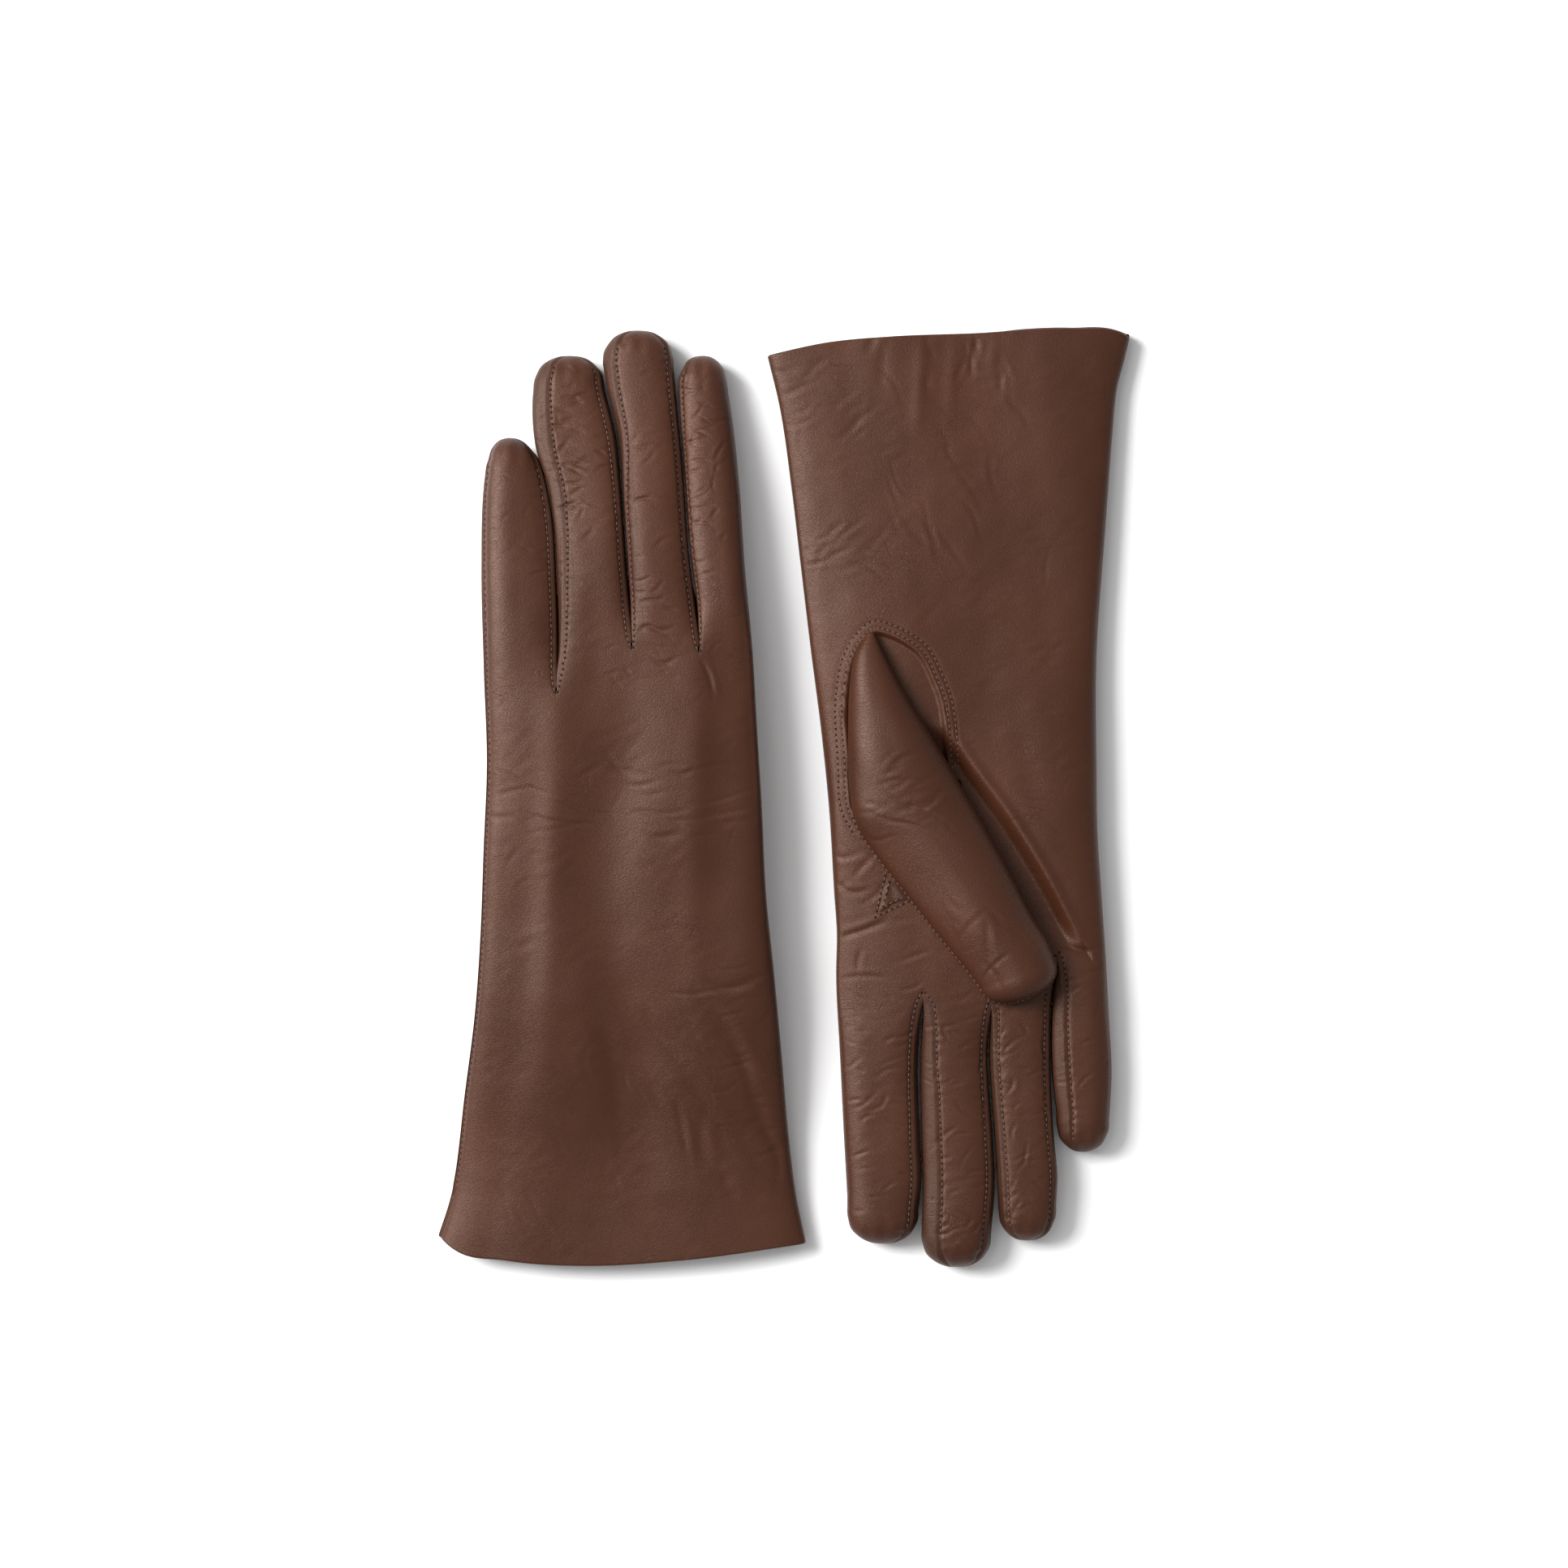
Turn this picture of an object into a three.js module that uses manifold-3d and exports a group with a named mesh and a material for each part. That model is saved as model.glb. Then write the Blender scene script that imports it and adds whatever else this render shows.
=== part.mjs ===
// A pair of long leather dress gloves, lying on a flat surface with the fingers of the two pointing
// opposite ways: the left glove lies on its palm and the right glove on its back.
// Millimetres, +Z up. z = 0 is the surface that the gloves lie on, and the origin is under the pair's middle.
//
// Every glove is laid out in its own plan: fingers along +Y, index finger on +X, little finger on -X.
// That plan is the same for a left glove lying palm down and a right glove lying palm up.
import * as THREE from "three";
import { mergeVertices } from "three/addons/utils/BufferGeometryUtils.js";
import Module from "manifold-3d";

const wasm = await Module();
wasm.setup();

// ---- Driving dimensions, in millimetres -------------------------------------------------------
const GLOVE_LENGTH = 288; // middle fingertip to mouth
const GLOVE_WIDTH = 84; // across the palm, lying flat
const LEATHER = 0.8; // skin of the hand, fingers and thumb
const LINING = 0.8; // knitted lining
const LAYER_GAP = 0.3; // between two layers, and between two skins that meet at a seam
const HINGE_GAP = 1.0; // between the two sides of a fold line
const HEM_DEPTH = 12; // how far the skin is turned in at the mouth
const HAND_ROUND = 3.4; // exponent of the hand's oval section: 2 is an ellipse, more is boxier
const FINGER_ROUND = 2.7; // the same, of a finger's section
const FOURCHETTE_HALF = 0.62; // half angle of a fourchette on its finger's section, in radians
const FINGER_THICK = 12; // a finger lying on the table, over both skins
const TIP_RADIUS = 10.5; // rounding of a fingertip in plan
const THUMB_TIP_SHARE = 1.15; // rounding of the thumb's tip, as a share of a fingertip's
const BELLY = 0.42; // height of a section's widest line, as a share of its thickness
const FLAT_SHARE = 1.12; // how far an oval's lower half reaches past its flat underside
const THUMB_CLEARANCE = 0.4; // between the thumb and the palm that it lies against
const THUMB_BELOW = 9; // thickness of the left thumb, pressed flat under its palm
const THUMB_ABOVE = 11; // thickness of the right thumb, lying on its palm
const THUMB_LENGTH = 68.5; // free part, from its fold line to its tip


// The outlines below are drawn for a glove 288 long and 84 wide, and these fit them to the sizes above.
const LONG = GLOVE_LENGTH / 288;
const WIDE = GLOVE_WIDTH / 84;
const fitted = (rows) => rows.map(([y, ...xs]) => [y * LONG, ...xs.map((x) => x * WIDE)]);
const stationed = (rows) => rows.map(([y, ...values]) => [y * LONG, ...values]);
const WRIST_Y = -64 * LONG; // fold line between cuff and hand
const FINGER_LINE = 65 * LONG; // fold line of the index, middle and ring fingers
const LITTLE_LINE = 50 * LONG; // fold line of the little finger
const UNDER_HAND = THUMB_BELOW + THUMB_CLEARANCE; // the left hand lies on its thumb
const HAND_ABOVE = 13; // thickness of the right hand, over both skins

// ---- The two gloves ---------------------------------------------------------------------------
// edges: [y, little finger side, index finger side] of the hand, from the mouth to the finger line.
// fingers: the same, of each finger, from its fold line to where its tip starts to round, then the tip's y.
// thickness: [y, over both skins]. lift: [y, height of the underside].
const LEFT = {
  name: "left",
  palmUp: false,
  place: { x: -50.1 * WIDE, y: 0.2, turn: 0 },
  mouthBow: 7.5,
  edges: fitted([
    [-136, -56.3, 56.7], [-128, -55, 55.2], [-105, -50.2, 51.5], [-64, -44.5, 47.8],
    [-20, -42, 44], [10, -41, 42.4], [36, -42, 40.8], [66, -42.7, 38.4],
  ]),
  fingers: {
    little: {
      fold: LITTLE_LINE,
      tip: 110.9 * LONG,
      rows: fitted([[50, -42.4, -19.7], [75, -42.7, -20.9], [100, -42, -24.4]]),
    },
    ring: {
      fold: FINGER_LINE,
      tip: 136.6 * LONG,
      rows: fitted([[65, -19.3, 1.6], [85, -20.6, 0.3], [108, -24.6, -1.8], [126, -27.3, -5.5]]),
    },
    middle: {
      fold: FINGER_LINE,
      tip: 143.8 * LONG,
      rows: fitted([[65, 2.2, 21.8], [90, 0.9, 19.1], [112, -0.2, 17.4], [133, -5, 15.8]]),
    },
    index: {
      fold: FINGER_LINE,
      tip: 136.4 * LONG,
      rows: fitted([[65, 22.4, 38.4], [95, 19.8, 36.2], [115, 18.6, 34.3], [126, 17, 32]]),
    },
  },
  thickness: stationed([[-144, 9], [-105, 10.5], [-64, 11.5], [0, FINGER_THICK], [66, FINGER_THICK]]),
  lift: stationed([[-144, 0], [-104, 0], [-62, UNDER_HAND], [62, UNDER_HAND], [134, 0], [150, 0]]),
  thumb: { thick: THUMB_BELOW },
};
const RIGHT = {
  name: "right",
  palmUp: true,
  place: { x: 50.65 * WIDE, y: -0.2, turn: Math.PI },
  mouthBow: 6.1,
  edges: fitted([
    [-138.5, -55.6, 56], [-130, -53.6, 54.8], [-109, -50.5, 50.3], [-64, -46.5, 44.7],
    [-22, -45.5, 39.4], [4, -45.6, 36.8], [29, -47, 35.2], [66, -49.2, 34],
  ]),
  fingers: {
    little: {
      fold: LITTLE_LINE,
      tip: 108.4 * LONG,
      rows: fitted([[50, -48.3, -34.1], [70, -49.5, -33.5], [98, -49.6, -34.2]]),
    },
    ring: {
      fold: FINGER_LINE,
      tip: 135.6 * LONG,
      rows: fitted([[65, -31.5, -13.3], [85, -31.3, -13], [108, -32.7, -15], [124, -33.3, -15.7]]),
    },
    middle: {
      fold: FINGER_LINE,
      tip: 144.4 * LONG,
      rows: fitted([[65, -12.5, 7.9], [80, -11.7, 8.3], [104, -13, 8], [133, -13.6, 8]]),
    },
    index: {
      fold: FINGER_LINE,
      tip: 136.9 * LONG,
      rows: fitted([[65, 8.6, 34], [91, 9.6, 33], [116, 8.8, 31.6], [126, 9, 30.6]]),
    },
  },
  thickness: stationed([
    [-144, 9], [-105, 10.5], [-64, 11.5], [-20, HAND_ABOVE], [40, HAND_ABOVE], [66, FINGER_THICK],
  ]),
  lift: stationed([[-144, 0], [150, 0]]),
  thumb: { thick: THUMB_ABOVE },
};

// The thumb, the same on both gloves. Its root is a dome over the oval opening in the palm, and its free
// part leaves the dome at a slanted fold line. rows: [y, little finger side, index finger side] of the dome.
const THUMB = {
  opening: { x: 14.5 * WIDE, y: -20 * LONG, across: 13 * WIDE, along: 27 * LONG, lean: 0.16 },
  root: fitted([
    [-51, 20, 24], [-44, 15.2, 28], [-34, 11, 30.4], [-18, 2.5, 31.8], [0, -7.2, 31.4], [16, -16, 29.5],
  ]),
  rootLength: 28, // over which the dome rises to its full height
  fold: { x: 11.5 * WIDE, y: 5.6 * LONG },
  direction: { x: -0.585, y: 0.811 },
  length: THUMB_LENGTH * LONG,
  halfWidths: [[0, 18.4], [27, 15.6], [55, 13.2], [70, 12.6]],
  drift: [[0, 0], [27, -1], [70, -1]],
};
// Gusset (quirk) between the thumb and the index finger, a triangle in plan.
const GUSSET = [[20.6, 22.2], [23.2, 36.2], [13.4, 31]].map(([x, y]) => [x * WIDE, y * LONG]);

// ---- Colours ----------------------------------------------------------------------------------
const skin = new THREE.MeshStandardMaterial({ color: 0x6b4433, roughness: 0.5, metalness: 0 });
const gussetSkin = new THREE.MeshStandardMaterial({ color: 0x5d3a2b, roughness: 0.55, metalness: 0 });
const knit = new THREE.MeshStandardMaterial({ color: 0x6a5345, roughness: 0.95, metalness: 0 });

// ---- Small helpers ----------------------------------------------------------------------------
const clamp = (value, low, high) => Math.min(high, Math.max(low, value));
const signedPower = (value, power) => Math.sign(value) * Math.abs(value) ** power;

// A smooth curve through [t, value] rows, read at t and held at its ends.
function along(rows, t, column = 1) {
  const at = clamp(t, rows[0][0], rows.at(-1)[0]);
  const i = clamp(rows.findIndex((row) => row[0] > at) - 1, 0, rows.length - 2);
  const k = rows.at(-1)[0] <= at ? rows.length - 2 : i;
  const slope = (n) => {
    const a = rows[Math.max(0, n - 1)];
    const b = rows[Math.min(rows.length - 1, n + 1)];
    return (b[column] - a[column]) / (b[0] - a[0]);
  };
  const span = rows[k + 1][0] - rows[k][0];
  const u = (at - rows[k][0]) / span;
  const h = [2 * u ** 3 - 3 * u ** 2 + 1, u ** 3 - 2 * u ** 2 + u, -2 * u ** 3 + 3 * u ** 2, u ** 3 - u ** 2];
  const near = h[0] * rows[k][column] + h[1] * span * slope(k);
  return near + h[2] * rows[k + 1][column] + h[3] * span * slope(k + 1);
}

// A straight-line version of the same, for heights that must not overshoot.
function straight(rows, t) {
  const at = clamp(t, rows[0][0], rows.at(-1)[0]);
  const k = Math.max(0, rows.findIndex((row) => row[0] >= at) - 1);
  const [a, b] = [rows[k], rows[k + 1]];
  return a[1] + ((b[1] - a[1]) * (at - a[0])) / (b[0] - a[0]);
}

const steps = (from, to, count) =>
  Array.from({ length: count + 1 }, (_, i) => from + ((to - from) * i) / count);
const average = (points) => points[0].map((_, k) => points.reduce((sum, p) => sum + p[k], 0) / points.length);

// Shared vertices and triangles to a geometry whose faces point out.
function geometryOf(points, triangles) {
  let volume = 0;
  for (const [a, b, c] of triangles) {
    const [p, q, r] = [points[a], points[b], points[c]];
    volume += p[0] * (q[1] * r[2] - q[2] * r[1]);
    volume += p[1] * (q[2] * r[0] - q[0] * r[2]);
    volume += p[2] * (q[0] * r[1] - q[1] * r[0]);
  }
  const faces = volume < 0 ? triangles.map(([a, b, c]) => [a, c, b]) : triangles;
  const geometry = new THREE.BufferGeometry();
  geometry.setAttribute("position", new THREE.Float32BufferAttribute(points.flat(), 3));
  geometry.setIndex(faces.flat());
  return geometry;
}

// Two grids of points, the faces of one skin, joined round their four borders.
function sheetGeometry(outer, inner) {
  const rows = outer.length;
  const columns = outer[0].length;
  const points = [...outer.flat(), ...inner.flat()];
  const out = (i, j) => i * columns + j;
  const inn = (i, j) => rows * columns + i * columns + j;
  const triangles = [];
  const quad = (a, b, c, d) => triangles.push([a, b, c], [a, c, d]);
  for (let i = 0; i < rows - 1; i++)
    for (let j = 0; j < columns - 1; j++) {
      quad(out(i, j), out(i + 1, j), out(i + 1, j + 1), out(i, j + 1));
      quad(inn(i, j), inn(i, j + 1), inn(i + 1, j + 1), inn(i + 1, j));
    }
  for (let i = 0; i < rows - 1; i++) {
    quad(out(i + 1, 0), out(i, 0), inn(i, 0), inn(i + 1, 0));
    quad(out(i, columns - 1), out(i + 1, columns - 1), inn(i + 1, columns - 1), inn(i, columns - 1));
  }
  for (let j = 0; j < columns - 1; j++) {
    quad(out(0, j), out(0, j + 1), inn(0, j + 1), inn(0, j));
    quad(out(rows - 1, j + 1), out(rows - 1, j), inn(rows - 1, j), inn(rows - 1, j + 1));
  }
  return geometryOf(points, triangles);
}

// Outer and inner rings of points as a tube. It is open at its first ring, and closed at its last if asked.
function tubeGeometry(outer, inner, closedTip) {
  const rows = outer.length;
  const columns = outer[0].length;
  const points = [...outer.flat(), ...inner.flat()];
  const out = (i, j) => i * columns + (j % columns);
  const inn = (i, j) => rows * columns + i * columns + (j % columns);
  const triangles = [];
  const quad = (a, b, c, d) => triangles.push([a, b, c], [a, c, d]);
  if (closedTip) points.push(average(outer[rows - 1]), average(inner[rows - 1]));
  for (let j = 0; j < columns; j++) {
    for (let i = 0; i < rows - 1; i++) {
      quad(out(i, j), out(i + 1, j), out(i + 1, j + 1), out(i, j + 1));
      quad(inn(i, j), inn(i, j + 1), inn(i + 1, j + 1), inn(i + 1, j));
    }
    quad(out(0, j), out(0, j + 1), inn(0, j + 1), inn(0, j));
    if (closedTip) {
      triangles.push([out(rows - 1, j), points.length - 2, out(rows - 1, j + 1)]);
      triangles.push([inn(rows - 1, j), inn(rows - 1, j + 1), points.length - 1]);
    } else quad(out(rows - 1, j + 1), out(rows - 1, j), inn(rows - 1, j), inn(rows - 1, j + 1));
  }
  return geometryOf(points, triangles);
}

// Rings of points as one closed solid with flat ends.
function loftGeometry(rings) {
  const columns = rings[0].length;
  const points = rings.flat();
  const at = (i, j) => i * columns + (j % columns);
  points.push(average(rings[0]), average(rings.at(-1)));
  const triangles = [];
  for (let j = 0; j < columns; j++) {
    for (let i = 0; i < rings.length - 1; i++)
      triangles.push([at(i, j), at(i + 1, j), at(i + 1, j + 1)], [at(i, j), at(i + 1, j + 1), at(i, j + 1)]);
    triangles.push([at(0, j), at(0, j + 1), points.length - 2]);
    triangles.push([at(rings.length - 1, j + 1), at(rings.length - 1, j), points.length - 1]);
  }
  return geometryOf(points, triangles);
}

// ---- Solids for cutting -----------------------------------------------------------------------
function solid(geometry) {
  const bare = new THREE.BufferGeometry().setAttribute("position", geometry.getAttribute("position"));
  if (geometry.index) bare.setIndex(geometry.index);
  const merged = mergeVertices(bare, 1e-4);
  return new wasm.Manifold(
    new wasm.Mesh({
      numProp: 3,
      vertProperties: new Float32Array(merged.attributes.position.array),
      triVerts: new Uint32Array(merged.index.array),
    }),
  );
}

function geometryFrom(manifold) {
  const mesh = manifold.getMesh();
  const geometry = new THREE.BufferGeometry();
  geometry.setAttribute("position", new THREE.BufferAttribute(new Float32Array(mesh.vertProperties), 3));
  geometry.setIndex(new THREE.BufferAttribute(new Uint32Array(mesh.triVerts), 1));
  return geometry;
}

// A box between two corners, turned about Z by an angle round a point of the plan.
function boxSolid(low, high, angle = 0, about = { x: 0, y: 0 }) {
  const size = high.map((value, k) => value - low[k]);
  const geometry = new THREE.BoxGeometry(...size);
  geometry.translate(...low.map((value, k) => value + size[k] / 2));
  geometry.rotateZ(angle);
  geometry.translate(about.x, about.y, 0);
  return solid(geometry);
}

// A shape of the plan, drawn from z = low to z = high.
function prismSolid(shape, low, high) {
  const depth = high - low;
  const geometry = new THREE.ExtrudeGeometry(shape, { depth, bevelEnabled: false, curveSegments: 10 });
  geometry.translate(0, 0, low);
  return solid(geometry);
}

// ---- The hand and cuff ------------------------------------------------------------------------
const HAND_COLUMNS = 10; // facets across one side of the hand
const HAND_ROWS = 7; // facets along the hand
const CUFF_ROWS = 3; // facets along the cuff, past its hem
const FINGER_COLUMNS = 4; // facets across a finger's front or back
const FOURCHETTE_COLUMNS = 2; // facets across a fourchette
const FAR = 400; // past every side of a glove

// A point of an oval section. inset moves it in from the outer surface.
function ovalPoint(section, angle, inset, round) {
  const c = signedPower(Math.cos(angle), 2 / round);
  const s = signedPower(Math.sin(angle), 2 / round);
  const thick = section.top - section.bottom;
  const widest = section.bottom + BELLY * thick;
  const above = (section.top - widest - inset) * s;
  const below = (widest - section.bottom - inset) * s * FLAT_SHARE;
  const rise = s > 0 ? above : below;
  const z = Math.max(widest + rise, section.bottom + inset);
  return { across: section.middle + (section.half - inset) * c, share: c, z };
}

function handPoint(glove, y, angle, inset) {
  const [low, high] = [along(glove.edges, y, 1), along(glove.edges, y, 2)];
  const bottom = straight(glove.lift, y);
  const top = bottom + straight(glove.thickness, y);
  const section = { middle: (low + high) / 2, half: (high - low) / 2, bottom, top };
  const p = ovalPoint(section, angle, inset, HAND_ROUND);
  const bowed = clamp((WRIST_Y - 10 - y) / (WRIST_Y - 10 - glove.edges[0][0]), 0, 1) ** 2;
  return [p.across, y - glove.mouthBow * bowed * (1 - p.share ** 2), p.z];
}

// The height of the hand's upper surface, over its middle.
const handTop = (glove, y) => straight(glove.lift, y) + straight(glove.thickness, y);

// One skin of the hand or cuff, through rows of y, over or under the widest line.
function handSkin(glove, rows, upper) {
  const seam = LAYER_GAP / 2 / 20; // half the seam's gap, as an angle on this section
  const turn = upper ? 0 : Math.PI;
  const angles = steps(turn, turn + Math.PI, HAND_COLUMNS);
  angles[0] += seam;
  angles[HAND_COLUMNS] -= seam;
  const grid = (inset) => rows.map((y) => angles.map((a) => handPoint(glove, y, a, inset)));
  return sheetGeometry(grid(0), grid(LEATHER));
}

// A ring at every row, with the same corners as the skins, so that layers lie evenly in one another.
function handRings(glove, rows, inset) {
  const angles = steps(0, 2 * Math.PI, HAND_COLUMNS * 2).slice(0, -1);
  return rows.map((y) => angles.map((a) => handPoint(glove, y, a, inset)));
}

// A closed layer inside the skins of the hand or cuff.
const handLayer = (glove, rows, inset, thick) =>
  tubeGeometry(handRings(glove, rows, inset), handRings(glove, rows, inset + thick), false);

const HAND_YS = steps(WRIST_Y + HINGE_GAP / 2, FINGER_LINE - HINGE_GAP / 2, HAND_ROWS);

// The space that the whole hand takes, grown by a clearance.
const handBody = (glove, clearance) => solid(loftGeometry(handRings(glove, HAND_YS, -clearance)));

// ---- Fingers ----------------------------------------------------------------------------------
const STRAIGHT_ROWS = 3;
const TIP_ROWS = 3;
const TIP_END = 0.16; // angle at which the rounded tip stops, in radians from its point

// Stations of a finger from its fold line to its tip: y and the share of full width there.
function fingerStations(finger, inset) {
  const start = finger.fold + HINGE_GAP / 2;
  const roundFrom = finger.tip - TIP_RADIUS;
  const body = steps(start, roundFrom, STRAIGHT_ROWS).map((y) => ({ y, share: 1 }));
  const tip = steps(Math.PI / 2, TIP_END, TIP_ROWS).slice(1);
  const reach = TIP_RADIUS - inset;
  return [...body, ...tip.map((a) => ({ y: roundFrom + reach * Math.cos(a), share: Math.sin(a) }))];
}

function fingerPoint(glove, finger, station, angle, inset) {
  const [low, high] = [along(finger.rows, station.y, 1), along(finger.rows, station.y, 2)];
  const middle = (low + high) / 2;
  const bottom = straight(glove.lift, station.y);
  const round = (FINGER_THICK / 2) * (1 - station.share);
  const section = { middle, half: (high - low) / 2, bottom, top: bottom + FINGER_THICK };
  const p = ovalPoint(section, angle, inset, FINGER_ROUND);
  const widest = bottom + BELLY * FINGER_THICK;
  const z = Math.max(widest + (p.z - widest) * station.share, bottom + inset + round * 0.2);
  return [middle + (p.across - middle) * station.share, station.y, z];
}

// A finger's surface, or a layer inset from it, through some angles of its section.
const fingerGrid = (glove, finger, angles, inset) =>
  fingerStations(finger, inset).map((station) =>
    angles.map((angle) => fingerPoint(glove, finger, station, angle, inset)),
  );

// A strip of a finger's skin between two angles of its section.
function fingerStrip(glove, finger, from, to, columns) {
  const seam = LAYER_GAP / 2 / 7; // half the seam's gap, as an angle on this section
  const angles = steps(from, to, columns);
  angles[0] += seam;
  angles[columns] -= seam;
  return sheetGeometry(fingerGrid(glove, finger, angles, 0), fingerGrid(glove, finger, angles, LEATHER));
}

// The lining has the same corners as the strips round it: edges are the angles where the strips meet.
function fingerLining(glove, finger, edges) {
  const pieces = edges.slice(0, -1);
  const corners = pieces.flatMap(([from, columns], k) => steps(from, edges[k + 1][0], columns).slice(0, -1));
  const outside = fingerGrid(glove, finger, corners, LEATHER + LAYER_GAP);
  const inside = fingerGrid(glove, finger, corners, LEATHER + LAYER_GAP + LINING);
  return tubeGeometry(outside, inside, true);
}

// ---- Thumb ------------------------------------------------------------------------------------
// Heights on the thumb are measured outwards from the palm: up if the glove lies palm up, and down if not.
function palmLevel(glove) {
  const ys = steps(WRIST_Y, FINGER_LINE, 22);
  return glove.palmUp ? Math.max(...ys.map((y) => handTop(glove, y))) : straight(glove.lift, 0);
}

const outwards = (glove, height) => palmLevel(glove) + (glove.palmUp ? 1 : -1) * height;
// Across the thumb, towards the index finger.
const THUMB_SIDE = { x: THUMB.direction.y, y: -THUMB.direction.x };
const FOLD_ANGLE = Math.atan2(THUMB_SIDE.y, THUMB_SIDE.x);

// The free part of the thumb: a flattened tube with a rounded end.
function thumbRings(glove, inset) {
  const tipRadius = TIP_RADIUS * THUMB_TIP_SHARE;
  const roundFrom = THUMB.length - tipRadius;
  const body = steps(HINGE_GAP / 2, roundFrom, STRAIGHT_ROWS).map((s) => ({ s, share: 1 }));
  const tip = steps(Math.PI / 2, TIP_END, TIP_ROWS).slice(1);
  const reach = tipRadius - inset;
  const rounded = tip.map((a) => ({ s: roundFrom + reach * Math.cos(a), share: Math.sin(a) }));
  const thick = glove.thumb.thick;
  return [...body, ...rounded].map(({ s, share }) =>
    steps(0, 2 * Math.PI, 14).slice(0, -1).map((angle) => {
      const c = signedPower(Math.cos(angle), 2 / FINGER_ROUND);
      const up = signedPower(Math.sin(angle), 2 / FINGER_ROUND);
      const across = along(THUMB.drift, s) + (along(THUMB.halfWidths, s) - inset) * c * share;
      const height = THUMB_CLEARANCE + thick / 2 + (thick / 2 - inset) * up * share;
      return [
        THUMB.fold.x + THUMB.direction.x * s + THUMB_SIDE.x * across,
        THUMB.fold.y + THUMB.direction.y * s + THUMB_SIDE.y * across,
        outwards(glove, height),
      ];
    }),
  );
}

// The root dome: an arch over the opening that rises from the wrist end to the fold line.
function rootSolid(glove, inset) {
  const [start, end] = [THUMB.root[0][0] + inset, THUMB.root.at(-1)[0] + (inset ? 4 : 0)];
  const foot = inset ? -6 : -3.5; // the arch's feet reach into the palm, which is then cut away
  const rings = steps(start, end, 6).map((y) => {
    const [low, high] = [along(THUMB.root, y, 1) + inset, along(THUMB.root, y, 2) - inset];
    const rise = Math.sin((clamp((y - start) / THUMB.rootLength, 0.04, 1) * Math.PI) / 2);
    const top = (glove.thumb.thick + THUMB_CLEARANCE - 1) * rise + 1 - inset;
    const arch = steps(0, Math.PI, 8).map((angle) => {
      const c = signedPower(Math.cos(angle), 2 / FINGER_ROUND);
      const up = signedPower(Math.sin(angle), 2 / FINGER_ROUND);
      return [(low + high) / 2 + ((high - low) / 2) * c, y, outwards(glove, top * up)];
    });
    return [...arch, [low, y, outwards(glove, foot)], [high, y, outwards(glove, foot)]];
  });
  return solid(loftGeometry(rings));
}

// Everything past the thumb's fold line, shifted by a distance along the thumb.
const pastFold = (shift) => boxSolid([-FAR, shift, -FAR], [FAR, FAR, FAR], FOLD_ANGLE, THUMB.fold);

function thumbRoot(glove) {
  const shell = rootSolid(glove, 0).subtract(rootSolid(glove, LEATHER));
  return geometryFrom(shell.subtract(handBody(glove, LAYER_GAP)).subtract(pastFold(-HINGE_GAP / 2)));
}

function openingPrism() {
  const { x, y, across, along: length, lean } = THUMB.opening;
  const shape = new THREE.Shape();
  shape.absellipse(x, y, across, length, 0, 2 * Math.PI, false, lean);
  return prismSolid(shape, -FAR, FAR);
}

// The opening goes through the palm side only.
function cutOpening(glove, geometry) {
  const half = (straight(glove.lift, 0) + handTop(glove, 0)) / 2;
  const side = glove.palmUp ? [half, FAR] : [-FAR, half];
  const prism = openingPrism().intersect(boxSolid([-FAR, -FAR, side[0]], [FAR, FAR, side[1]]));
  return geometryFrom(solid(geometry).subtract(prism));
}

function thumbGusset(glove) {
  const shape = new THREE.Shape(GUSSET.map(([x, y]) => new THREE.Vector2(x, y)));
  const [inner, outer] = [outwards(glove, -3), outwards(glove, LEATHER + LAYER_GAP)];
  const plate = prismSolid(shape, Math.min(inner, outer), Math.max(inner, outer));
  return geometryFrom(plate.subtract(handBody(glove, LAYER_GAP)));
}

// The hand stops short of the index, middle and ring fingers, and shorter at the little finger.
function cutLittleCorner(glove, geometry) {
  const { little, ring } = glove.fingers;
  const edge = (little.rows[0][2] + ring.rows[0][1]) / 2;
  const corner = boxSolid([-FAR, LITTLE_LINE - HINGE_GAP / 2, -FAR], [edge, FAR, FAR]);
  return geometryFrom(solid(geometry).subtract(corner));
}

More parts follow.
